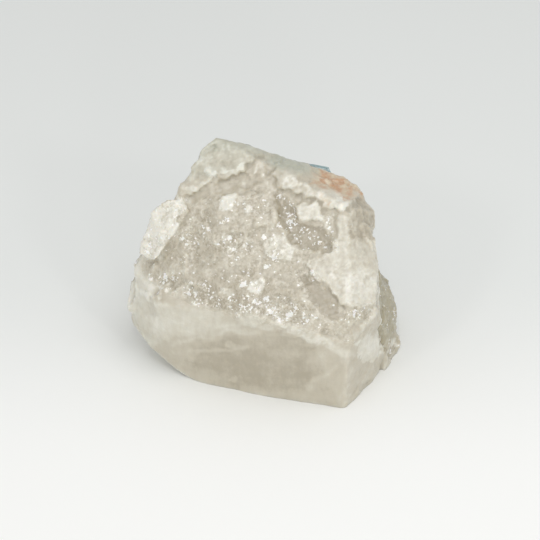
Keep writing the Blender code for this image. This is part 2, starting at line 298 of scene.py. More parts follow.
@dataclass(frozen=True)
class Side:
    """One side of the block, with the forms drawn on it: across and up in its own plane, raised outwards."""

    turn: float
    lean: float
    seed: int
    forms: tuple[Sheet | Groove | Scar, ...]
    # Edges stray this far, in swells of this width
    ragged: float = 0.9
    swell: float = 7.0
    swell_shift: float = 90.5
    # They are drawn to crumbs of this width, by this share of the way
    crumb: float = 2.4
    snap: float = 0.75
    middle: Point = (0.0, 0.0, 35.0)

    def axes(self) -> tuple[np.ndarray, np.ndarray, np.ndarray]:
        """Works out the side's own directions.

        Returns:
            The directions across the side, up it and out of it.
        """
        facing = np.array((math.sin(self.turn), -math.cos(self.turn), 0))
        across = np.array((math.cos(self.turn), math.sin(self.turn), 0))
        upright = np.array((0, 0, 1))
        up = upright * math.cos(self.lean) - facing * math.sin(self.lean)
        out = facing * math.cos(self.lean) + upright * math.sin(self.lean)
        return across, up, out

    def flat(self, points: np.ndarray) -> np.ndarray:
        """Where points lie in the side's plane."""
        across, up, _ = self.axes()
        return np.stack([(points - self.middle) @ across, (points - self.middle) @ up], axis=1)

    def wavered(self, points: np.ndarray) -> np.ndarray:
        """Where points lie in the plane, strayed and drawn to their crumbs, so that edges break off ragged.

        Args:
            points: the block's points, one to a row.

        Returns:
            Two values to a point.
        """
        noise = Noise(self.seed)
        stray = noise.stray(points, self.swell, self.swell_shift)
        seat = noise.chips(points, self.crumb).seat
        return self.flat(points + self.snap * (seat - points)) + self.ragged * stray

    def raised(self, points: np.ndarray, normals: np.ndarray) -> np.ndarray:
        """Moves points by the side's forms where they face it.

        Args:
            points: the block's points, one to a row.
            normals: the way each faces.

        Returns:
            The points in their new places.
        """
        out = self.axes()[2]
        flat = self.wavered(points)
        height = sum(form.height(flat) for form in self.forms)
        return points + (height * smooth_step(normals @ out, 0.02, 0.3))[:, None] * out


# Outlines on the front that are both shaped and marked, across and up its own plane
BROKEN_SHEET = (
    (-18.5, 26.5), (-14, 27.5), (-8, 28), (-2, 28), (0.8, 27), (2.2, 23.5), (4, 19), (5.2, 15),
    (7.6, 11), (9.4, 7.5), (8.5, 4.6), (5, 3.6), (1, 4.4), (-1.5, 6.5), (-2.8, 9.5), (-5, 11),
    (-9, 12.3), (-12.5, 14), (-17.5, 14.6), (-20, 16), (-19.8, 19), (-18.2, 21.5), (-19.4, 24),
)
PIT = (
    (1, 27.5), (5, 27), (7.4, 24), (8.6, 20), (9.4, 17.2), (13.5, 16.4), (17.5, 15.2), (21, 12.2),
    (22.4, 9.4), (20.5, 7.6), (15, 6.8), (10.5, 8.6), (7.6, 11), (5.2, 15), (3.2, 19.5), (1.6, 24),
)
FLAKE = (
    (9.2, 23.2), (11.5, 24.6), (14.8, 25), (18.2, 23.6), (18.8, 20.5), (18.4, 17.6), (14.5, 17.3),
    (11, 18.2), (9.4, 20),
)
UPPER_FACET = ((12.6, -3), (16, -4.4), (19, -6.2), (22, -9), (24.4, -11.6), (19, -12.4), (14, -10))
LOWER_FACET = ((19.4, -12.4), (25, -12.2), (27.6, -14), (28, -17), (22, -18.6), (17, -15))

FRONT = Side(
    turn=0.0,
    lean=FRONT_LEAN,
    seed=3,
    ragged=0.6,
    forms=(
        # The smooth trough that crosses the front below the cap
        Sheet(
            (
                (-31, 25.5), (-26, 28.5), (-21, 31), (-15, 32.8), (-9, 34.5), (-4, 37.5), (0, 41), (3, 46),
                (8, 44), (5, 40), (1, 36.5), (-3, 32.5), (-6, 29.8), (-13, 28.5), (-20, 27), (-26, 25),
            ),
            -1.4,
            edge=2.4,
        ),
        # The cap at the left end of the crest, with a lower sheet under it on the left
        Sheet(
            (
                (-36, 31), (-29, 33.5), (-25, 35.5), (-21, 34.6), (-17, 33.6), (-13, 34), (-9.5, 36.4),
                (-7.5, 39), (-3.5, 42), (0, 50), (-30, 56), (-38, 40),
            ),
            1.0,
            edge=1.2,
        ),
        Sheet(
            (
                (-41, 23), (-36, 26.5), (-31, 27.5), (-27, 29.5), (-24, 31.5), (-20, 33), (-14, 34),
                (-8, 38), (0, 50), (-30, 56), (-46, 36),
            ),
            0.8,
            edge=1.2,
        ),
        Scar((-2, 42), (7, 4), 1.2),
        # The broken sheet below the trough, in two layers
        Sheet(BROKEN_SHEET, 0.8, edge=1.2),
        Sheet(
            (
                (-17.5, 26.2), (-10, 27), (-1, 26.5), (1, 23), (3, 18.5), (1, 14.5), (-4, 15), (-9, 17),
                (-13.5, 19.5), (-16, 22),
            ),
            0.4,
            edge=1.2,
        ),
        Groove(((-22, 26), (-22.5, 20), (-21.5, 14)), 0.8, 3),
        # The pit and the flake left in it
        Sheet(PIT, -1.2, edge=2.4),
        Sheet(FLAKE, 1.0),
        # The block that overhangs the pit, and the step above it
        Sheet(
            (
                (4.5, 29), (8, 27.8), (12, 27), (15.5, 26), (18.5, 24.2), (20.5, 22.6), (24.5, 21.2),
                (28, 21.6), (29.2, 24.5), (31.5, 26.5), (36, 27.5), (42, 30), (42, 44), (24, 50), (4, 50),
                (1.5, 34),
            ),
            1.8,
        ),
        Sheet(
            (
                (7, 30), (12, 30.5), (16, 31.4), (20, 33), (24, 33.6), (28.5, 30.6), (33, 31), (38, 34),
                (30, 46), (6, 48), (3.5, 37),
            ),
            0.8,
        ),
        # The white sheet on the right, with its broken lower edge
        Sheet(
            (
                (24.2, 21), (28.5, 20.5), (33, 22.5), (38, 22), (44, 18), (44, -8), (38.7, -12),
                (35.5, -13.6), (32, -14.2), (29.5, -12.6), (26.8, -12), (24.4, -9.8), (21.8, -7),
                (18.8, -4.6), (16, -2.4), (13.8, 0.6), (14.5, 3.4), (18, 4), (21, 7), (23, 9.5), (24, 14),
            ),
            1.2,
            edge=1.0,
        ),
        Sheet(
            (
                (12, -2.5), (15, -3.6), (18.5, -5.4), (21.5, -8.2), (24.2, -11), (27, -13.4), (27.4, -16),
                (22, -15), (17, -13.2), (13, -10.5), (11.6, -6.5),
            ),
            -0.8,
            edge=1.8,
        ),
        # The crust at the left end
        Sheet(
            (
                (-43, 26), (-38.5, 27.6), (-34, 26.6), (-30.6, 25), (-30.8, 21.6), (-33, 19), (-36, 16.2),
                (-37.2, 13), (-39.6, 10), (-41, 7), (-42.4, 4.6), (-46, 4.6), (-50, 8), (-50, 18),
            ),
            0.7,
            edge=1.8,
        ),
        # Shell-shaped scars on the slope
        Scar((-36.5, -4.5), (7.5, 3.6), 1.5),
        Scar((-42, -11), (4, 2.4), 0.7),
        Scar((-26, -9), (5, 3), 0.8),
        Scar((-13, -8), (5, 3), 0.7),
        Scar((3, -10.5), (6, 3.4), 1.0),
        Scar((-14, 0), (9, 5), 0.9),
        Scar((-26, 8), (6, 8), 0.9),
        Scar((8, -3), (7, 4), 0.8),
    ),
)

BACK = Side(
    turn=math.pi,
    lean=math.radians(15),
    seed=8,
    ragged=1.2,
    forms=(
        # The bed that the crystal lies in
        Sheet(
            ((-25, 3), (-12, 5), (0, 8), (8, 12), (7, 26), (-4, 32), (-20, 26), (-28, 16)),
            -1.4,
            edge=2.4,
        ),
        Sheet(((-30, -36), (-34, -4), (-22, 2), (-6, 0), (8, 5), (16, -4), (12, -36)), 2.0),
        Sheet(((-24, -36), (-20, -12), (-4, -18), (2, -36)), 1.8),
        Sheet(((20, 22), (30, 30), (44, 20), (46, -2), (34, -10), (24, 4)), 1.4),
        Scar((24, 14), (9, 7), 1.4),
        Scar((-30, -12), (8, 10), 1.4),
    ),
)

LEFT = Side(
    turn=-math.pi / 2,
    lean=math.radians(10),
    seed=12,
    forms=(
        Sheet(((-2, 4), (8, 12), (18, 4), (14, -10), (2, -12)), -1.2),
        Scar((8, -16), (9, 6), 1.5),
        Scar((-8, 20), (7, 7), 1.4),
    ),
)

# The crack between the block and the low lump at its right end, and the lump that it bounds
CRACK = (
    (-13, -40), (-13.6, -35), (-14.4, -32), (-17, -24), (-19.5, -17), (-17.5, -12.7), (-14, -9.2),
    (-10, -5.8), (-4, -1.5), (4, 1),
)
LUMP = CRACK + ((22, -8), (34, -20), (34, -44))

RIGHT = Side(
    turn=math.pi / 2,
    lean=math.radians(10),
    seed=15,
    forms=(
        Sheet(((2, 26), (12, 18), (10, 6), (-2, 8), (-6, 18)), -1.2),
        Sheet(((-13, -7), (-15, 4), (-8, 13), (3, 11), (9, 3), (8, -5), (0, -6), (-6, -9)), -1.5, edge=4),
        Groove(CRACK[2:], 2.4, 3),
        Scar((14, -14), (7, 9), 1.4),
    ),
)


def select_only(obj: bpy.types.Object) -> None:
    """Makes one object the only selected and the active one.

    Args:
        obj: the object.
    """
    for other in bpy.context.view_layer.objects:
        other.select_set(False)
    obj.select_set(True)
    bpy.context.view_layer.objects.active = obj


def apply_modifier(obj: bpy.types.Object, kind: str, **settings: object) -> None:
    """Adds a modifier and applies it.

    Args:
        obj: the piece.
        kind: the modifier's type.
        settings: its values by name.
    """
    select_only(obj)
    made = obj.modifiers.new(kind.lower(), kind)
    for name, value in settings.items():
        setattr(made, name, value)
    bpy.ops.object.modifier_apply(modifier=made.name)


def read_points(mesh: bpy.types.Mesh) -> tuple[np.ndarray, np.ndarray]:
    """Reads a mesh.

    Args:
        mesh: the mesh.

    Returns:
        Its points in millimetres, and the way each faces.
    """
    points = np.empty(len(mesh.vertices) * 3)
    mesh.vertices.foreach_get("co", points)
    normals = np.empty(len(mesh.vertices) * 3)
    mesh.vertex_normals.foreach_get("vector", normals)
    return points.reshape(-1, 3) / MM, normals.reshape(-1, 3)


def write_points(mesh: bpy.types.Mesh, points: np.ndarray) -> None:
    """Puts points, in millimetres, back into the mesh."""
    mesh.vertices.foreach_set("co", (points * MM).ravel())
    mesh.update()


def write_attribute(mesh: bpy.types.Mesh, name: str, values: np.ndarray) -> None:
    """Stores one number to a point of the mesh."""
    layer = mesh.attributes.new(name, "FLOAT", "POINT")
    layer.data.foreach_set("value", values.astype(np.float32))


def averaged(mesh: bpy.types.Mesh, values: np.ndarray, steps: int) -> np.ndarray:
    """Evens values out over a mesh.

    Args:
        mesh: the mesh.
        values: one row to a point.
        steps: how often each point takes the average of its neighbours.

    Returns:
        The evened values.
    """
    ends = np.empty(len(mesh.edges) * 2, int)
    mesh.edges.foreach_get("vertices", ends)
    first, second = ends.reshape(-1, 2).T
    count = np.bincount(ends, minlength=len(values))
    for _ in range(steps):
        totals = [
            np.bincount(first, column[second], len(values)) + np.bincount(second, column[first], len(values))
            for column in values.T
        ]
        values = 0.5 * values + 0.5 * np.stack(totals, axis=1) / count[:, None]
    return values


@dataclass
class Aquamarine:
    """The crystal: a six-sided prism with broken ends, lying along the crest at the back."""

    width: float = 16.0
    length: float = 31.0
    middle: Point = (8.5, 23.0, 59.5)
    slope: float = math.radians(17)
    roll: float = math.radians(-52)
    corner_reach: tuple[float, ...] = (1.0, 0.94, 1.03, 0.98, 1.05, 0.95)
    corner_turn: tuple[float, ...] = (0, 58, 121, 181, 238, 301)
    edge: float = 0.5
    grain: float = 0.35
    seed: int = 41
    rib_width: float = 1.6
    rib_depth: float = 0.1
    rib_stretch: float = 0.06
    end_facet: float = 4.5
    # (a point on the broken face, the way it faces), along the crystal, across it and up
    breaks: tuple[tuple[Point, Point], ...] = (
        ((-12.8, 0, 2), (-0.93, 0.2, 0.3)),
        ((-14.5, 0, -2), (-0.9, -0.25, -0.35)),
        ((14.0, 0, 0), (0.96, 0.22, -0.15)),
        ((13.5, -4, 4), (0.8, -0.4, 0.45)),
    )

    def place(self) -> Matrix:
        """Places the crystal in the block.

        Returns:
            The move and turn that puts it there.
        """
        return (
            Matrix.Translation(Vector(self.middle) * MM)
            @ Matrix.Rotation(self.slope, 4, "Y")
            @ Matrix.Rotation(self.roll, 4, "X")
        )

    def blank(self, name: str, gap: float = 0.0) -> bpy.types.Object:
        """Makes the plain crystal, or the cutter of its pocket.

        Args:
            name: the object's name.
            gap: how much larger than the crystal it is all round.

        Returns:
            The closed prism, lying along X at the origin.
        """
        size = self.width + 2 * gap
        bpy.ops.object.select_all(action="DESELECT")
        bpy.ops.mesh.primitive_cylinder_add(
            vertices=6,
            radius=size / math.sqrt(3) * MM,
            depth=(self.length + 2 * gap) * MM,
            end_fill_type="NGON",
        )
        prism = bpy.context.active_object
        prism.name = name
        prism.data.transform(Matrix.Rotation(math.pi / 2, 4, "Y"))
        for vert in prism.data.vertices:
            angle = math.degrees(math.atan2(-vert.co.y, vert.co.z)) % 360
            k = min(range(6), key=lambda n: abs((angle - 60 * n + 180) % 360 - 180))
            reach = size / math.sqrt(3) * self.corner_reach[k] * MM
            vert.co.y = -reach * math.sin(math.radians(self.corner_turn[k]))
            vert.co.z = reach * math.cos(math.radians(self.corner_turn[k]))
        bpy.ops.object.mode_set(mode="EDIT")
        for where, facing in self.breaks:
            bpy.ops.mesh.select_all(action="SELECT")
            spot = (Vector(where) + gap * Vector(facing).normalized()) * MM
            bpy.ops.mesh.bisect(plane_co=spot, plane_no=facing, use_fill=True, clear_outer=True)
        bpy.ops.mesh.select_all(action="SELECT")
        bpy.ops.mesh.normals_make_consistent(inside=False)
        bpy.ops.mesh.bevel(offset=self.edge * MM, segments=2)
        bpy.ops.object.mode_set(mode="OBJECT")
        return prism

    def build(self) -> bpy.types.Object:
        """Makes the finished crystal, ribbed along its length and rough where it broke.

        Returns:
            The crystal, with an attribute for how worn it is.
        """
        crystal = self.blank("aquamarine")
        apply_modifier(crystal, "REMESH", mode="VOXEL", voxel_size=self.grain * MM)
        points, normals = read_points(crystal.data)
        noise = Noise(self.seed)
        stretched = points * (self.rib_stretch, 1, 1)
        ribs = noise.rough(stretched, self.rib_width) + 0.6 * noise.waves(stretched, 5)
        on_ends = smooth_step(np.abs(normals[:, 0]), 0.5, 0.8)
        chips = noise.chips(points, self.end_facet)
        broken = 0.5 * chips.tilt + 0.35 * (chips.distance**2 - 0.6)
        height = self.rib_depth * ribs * (1 - on_ends) + on_ends * broken
        # An edge stands out from the average of what lies round it
        worn = np.einsum("ij,ij->i", points - averaged(crystal.data, points, 8), normals)
        worn = smooth_step(worn + 0.05 * noise.rough(points, 2.0), 0.03, 0.16)
        write_points(crystal.data, points + height[:, None] * normals)
        write_attribute(crystal.data, WORN, np.maximum(worn, 0.6 * on_ends))
        crystal.data.transform(self.place())
        return crystal

    def cutter(self, gap: float) -> bpy.types.Object:
        """Makes the cutter of the pocket that the crystal lies in.

        Args:
            gap: how much larger than the crystal it is all round.

        Returns:
            The closed prism, in the block's frame.
        """
        prism = self.blank("pocket_cutter", gap)
        prism.data.transform(self.place())
        return prism


@dataclass
class QuartzMatrix:
    """The block of broken quartz: its blank, its relief and the kinds of quartz that it shows."""

    grain: float = 0.63
    pocket_gap: float = 0.3
    fracture_seed: int = 21
    grain_seed: int = 57
    # The whole block swells by this much, in swells of this width
    swell_height: float = 0.6
    swell: float = 26.0
    # The broken grain: facets of this width, with crumbs of that width on them
    facet: float = 2.1
    crumb: float = 1.2
    # The smooth face below ends at this height in the middle, and lower to the right by this much
    cleft_top: float = 29.0
    cleft_fall: float = 0.15
    # Corners of the block, level by level: its foot, waist, shoulder and crest
    body: tuple[Point, ...] = (
        (27, -38, -2), (11, -34.5, -2), (-7.5, -29.5, -2), (-24, -23.5, -2), (-35, -18.5, 2), (-44, -13, 8),
        (-38, 20, 7), (-20, 28, 5), (2, 32, 6), (24, 29, 5), (-24, 14, -2), (-10, 21, -2), (10, 24, -2),
        (28, 20, -2), (36, 12, -2), (40.5, -15, -2), (38, -21.5, -2),

        (-52.5, -5, 25), (-51.5, -3, 13), (-47.5, -9, 9.5), (-41, -18, 32.5), (-7.5, -31, 36.5),
        (16, -38, 34), (28.2, -37.6, 26), (43.2, -14, 10), (38.9, -10, 23), (37.8, -5, 36), (-44, 20, 30),
        (-22, 37, 26), (6, 40, 28), (30, 31, 22),

        (29, -32.5, 39), (37.4, -27, 38), (36.2, -19, 46.5), (40, -20, 26.5), (37.8, -6.5, 54),
        (37.4, -1, 47.5), (28, -6, 67), (-51.5, -3, 38), (-34, 20, 47), (36, 18, 44),

        (-34, 3, 65), (-28.5, 7, 70), (-25, 10, 80.5), (-19.5, 14, 84), (-7.5, 16.5, 79.5), (2, 17, 75.2),
        (12, 17, 69.2), (20, 16, 68.4), (27, 13, 67.2), (32, 10, 66), (39.5, 3, 59), (-20, 25, 68),
        (0, 28.5, 61), (22, 25.5, 54),
    )
    # Corners of the slab of crust at the left shoulder
    crust: tuple[Point, ...] = (
        (-42, 2, 61.5), (-38, 2, 64.5), (-33, -0.5, 65.5), (-29.5, -2.6, 64), (-32, -4.4, 60), (-37, -7, 53),
        (-42, -9.6, 46), (-45, -7.4, 44), (-49, -4, 45.5), (-48, -1, 49), (-45.5, 1, 53.5), (-43.5, 2, 58),
        (-34, 8, 56), (-40, 6, 46), (-36, 2, 50),
    )
    # Corners of the low lump at the right end
    lobe: tuple[Point, ...] = (
        (39.4, 8, 30.8), (42.2, 7, 25.4), (46.2, 5, 21.4), (48.4, 3, 17), (48.8, -2, 4), (47.6, -5, -2),
        (45, -12, -2), (43, -16, -2), (44.4, -13, 8), (43, -14, 16), (40.4, -14, 25), (38.8, -8, 33),
        (38.2, 0, 36), (44, 18, 18), (46, 17, 8), (41, 26, -2), (36, 28, 16), (30, 12, 30), (30, 20, -2),
        (30, 0, -2),
    )
    # (size of a facet, how far it tips, how hollow it is, how much less in front)
    fractures: tuple[tuple[float, float, float, float], ...] = (
        (22, 3.2, 0.8, 0.9),
        (11, 2.0, 0.4, 0),
        (5, 0.8, 0.3, 0),
    )

    def lump(self, corners: tuple[Point, ...]) -> bpy.types.Object:
        """Makes one closed lump.

        Args:
            corners: the corners that it is stretched over.

        Returns:
            The lump.
        """
        mesh = bpy.data.meshes.new("lump")
        mesh.from_pydata([Vector(corner) * MM for corner in corners], [], [])
        lump = bpy.data.objects.new("lump", mesh)
        bpy.context.scene.collection.objects.link(lump)
        select_only(lump)
        bpy.ops.object.mode_set(mode="EDIT")
        bpy.ops.mesh.select_all(action="SELECT")
        bpy.ops.mesh.convex_hull()
        bpy.ops.object.mode_set(mode="OBJECT")
        return lump

    def blank(self) -> bpy.types.Object:
        """Grows the lumps into one even skin.

        Returns:
            The plain block.
        """
        lumps = [self.lump(corners) for corners in (self.body, self.crust, self.lobe)]
        select_only(lumps[0])
        for lump in lumps:
            lump.select_set(True)
        bpy.ops.object.join()
        apply_modifier(lumps[0], "REMESH", mode="VOXEL", voxel_size=self.grain * MM)
        lumps[0].name = "quartz"
        return lumps[0]

    def fracture(self, mesh: bpy.types.Mesh) -> None:
        """Breaks the smooth skin: swells, facets, then the forms of each side.

        Args:
            mesh: the block's mesh.
        """
        noise = Noise(self.fracture_seed)
        points, normals = read_points(mesh)
        sideways = smooth_step(np.abs(normals[:, 0]), 0.65, 0.9)
        front = smooth_step(27 - points[:, 1], 0, 11) * (1 - 0.5 * sideways)
        cleft = smooth_step(-normals[:, 1], 0.25, 0.5) * (1 - smooth_step(self.above_cleft(points), 0, 5))
        cleft *= 1 - self.lump_share(points)
        under = smooth_step(-normals[:, 2], 0.3, 0.6)
        ragged = (1 - 0.5 * front - 0.42 * cleft) * (1 - 0.8 * under)
        height = self.swell_height * noise.rough(points, self.swell)
        for size, tip, hollow, share in self.fractures:
            strayed = points + 0.2 * size * noise.waves(points, 0.8 * size)[:, None]
            chips = noise.chips(strayed, size)
            broken = tip * chips.tilt + hollow * (chips.distance**2 - 0.3)
            height += ragged * broken * (1 - share * front)
        write_points(mesh, points + height[:, None] * normals)
        for side in (FRONT, BACK, LEFT, RIGHT):
            points, normals = read_points(mesh)
            write_points(mesh, side.raised(points, normals))

    def roughen(self, mesh: bpy.types.Mesh) -> None:
        """Gives the broken skin its grain of small facets, except where it is cleft smooth.

        Args:
            mesh: the block's mesh.
        """
        noise = Noise(self.grain_seed)
        points, normals = read_points(mesh)
        smooth = self.smoothness(points, normals)
        chips = noise.chips(points + 0.4 * noise.waves(points, 1.5)[:, None], self.facet)
        crumbs = noise.chips(points, self.crumb)
        height = (1 - smooth) * (0.16 * chips.tilt + 0.12 * crumbs.tilt + 0.05 * (chips.distance**2 - 0.3))
        height += smooth * 0.07 * noise.rough(points * (1, 1, 0.35), 3.0)
        write_points(mesh, points + height[:, None] * normals)

    def smoothness(self, points: np.ndarray, normals: np.ndarray) -> np.ndarray:
        """Where the quartz is cleft smooth, from 0 to 1.

        Args:
            points: the block's points, one to a row.
            normals: the way each faces.

        Returns:
            One value to a point.
        """
        band = 1 - smooth_step(self.above_cleft(points), 0, 4)
        return smooth_step(-normals[:, 1], 0.2, 0.45) * band * (1 - self.lump_share(points))

    def above_cleft(self, points: np.ndarray) -> np.ndarray:
        """How far points lie above the top of the smooth face."""
        return points[:, 2] + self.cleft_fall * points[:, 0] - self.cleft_top

    def lump_share(self, points: np.ndarray) -> np.ndarray:
        """1 on the low lump behind the crack, 0 off it."""
        behind = smooth_step(depth_inside(RIGHT.flat(points), LUMP), -0.4, 0.8)
        return behind * smooth_step(points[:, 0], 33, 38)

    def rest(self, block: bpy.types.Object) -> None:
        """Cuts the underside off level and closes the cut.

        Args:
            block: the block.
        """
        select_only(block)
        bpy.ops.object.mode_set(mode="EDIT")
        bpy.ops.mesh.select_all(action="SELECT")
        bpy.ops.mesh.bisect(
            plane_co=(0, 0, 0),
            plane_no=(0, 0, -1),
            use_fill=True,
            clear_outer=True,
            threshold=CUT_TOLERANCE,
        )
        bpy.ops.object.mode_set(mode="OBJECT")

    def pocket(self, block: bpy.types.Object, crystal: Aquamarine) -> None:
        """Cuts the pocket that the crystal lies in.

        Args:
            block: the block.
            crystal: what the pocket is cut for.
        """
        cutter = crystal.cutter(self.pocket_gap)
        apply_modifier(block, "BOOLEAN", operation="DIFFERENCE", object=cutter, solver="EXACT")
        bpy.data.objects.remove(cutter)

    def build(self, crystal: Aquamarine) -> bpy.types.Object:
        """Makes the finished block.

        Args:
            crystal: what its pocket is cut for.

        Returns:
            The block, with an attribute for each kind of quartz.
        """
        block = self.blank()
        self.fracture(block.data)
        apply_modifier(block, "REMESH", mode="VOXEL", voxel_size=self.grain * MM)
        self.roughen(block.data)
        self.rest(block)
        self.pocket(block, crystal)
        Marking().mark(block.data, self)
        for polygon in block.data.polygons:
            polygon.use_smooth = True
        return block


@dataclass(frozen=True)
class Spots:
    """Where the block's points lie in the front's plane: crisp up to a crack, blurred for a veil."""

    crisp: np.ndarray
    blurred: np.ndarray


@dataclass(frozen=True)
class Patch:
    """A patch of the front that differs from what lies round it."""

    outline: Outline
    level: float
    soft: float = 0.8

    def laid(self, spots: Spots, under: np.ndarray) -> np.ndarray:
        """Lays this patch over what is marked already.

        Args:
            spots: where the block's points lie.
            under: the levels marked already.

        Returns:
            The new levels.
        """
        flat = spots.crisp if self.soft < SOFT_EDGE else spots.blurred
        cover = smooth_step(depth_inside(flat, self.outline), -self.soft / 2, self.soft / 2)
        return under + (self.level - under) * cover


@dataclass(frozen=True)
class Streak:
    """A veil or crack along a line on the front."""

    line: Outline
    level: float
    width: float

    def laid(self, spots: Spots, under: np.ndarray) -> np.ndarray:
        """Lays this streak over what is marked already.

        Args:
            spots: where the block's points lie.
            under: the levels marked already.

        Returns:
            The new levels.
        """
        flat = spots.crisp if self.width < WIDE_STREAK else spots.blurred
        cover = 1 - smooth_step(distance_to_line(flat, self.line), 0, self.width / 2)
        return under + (self.level - under) * cover
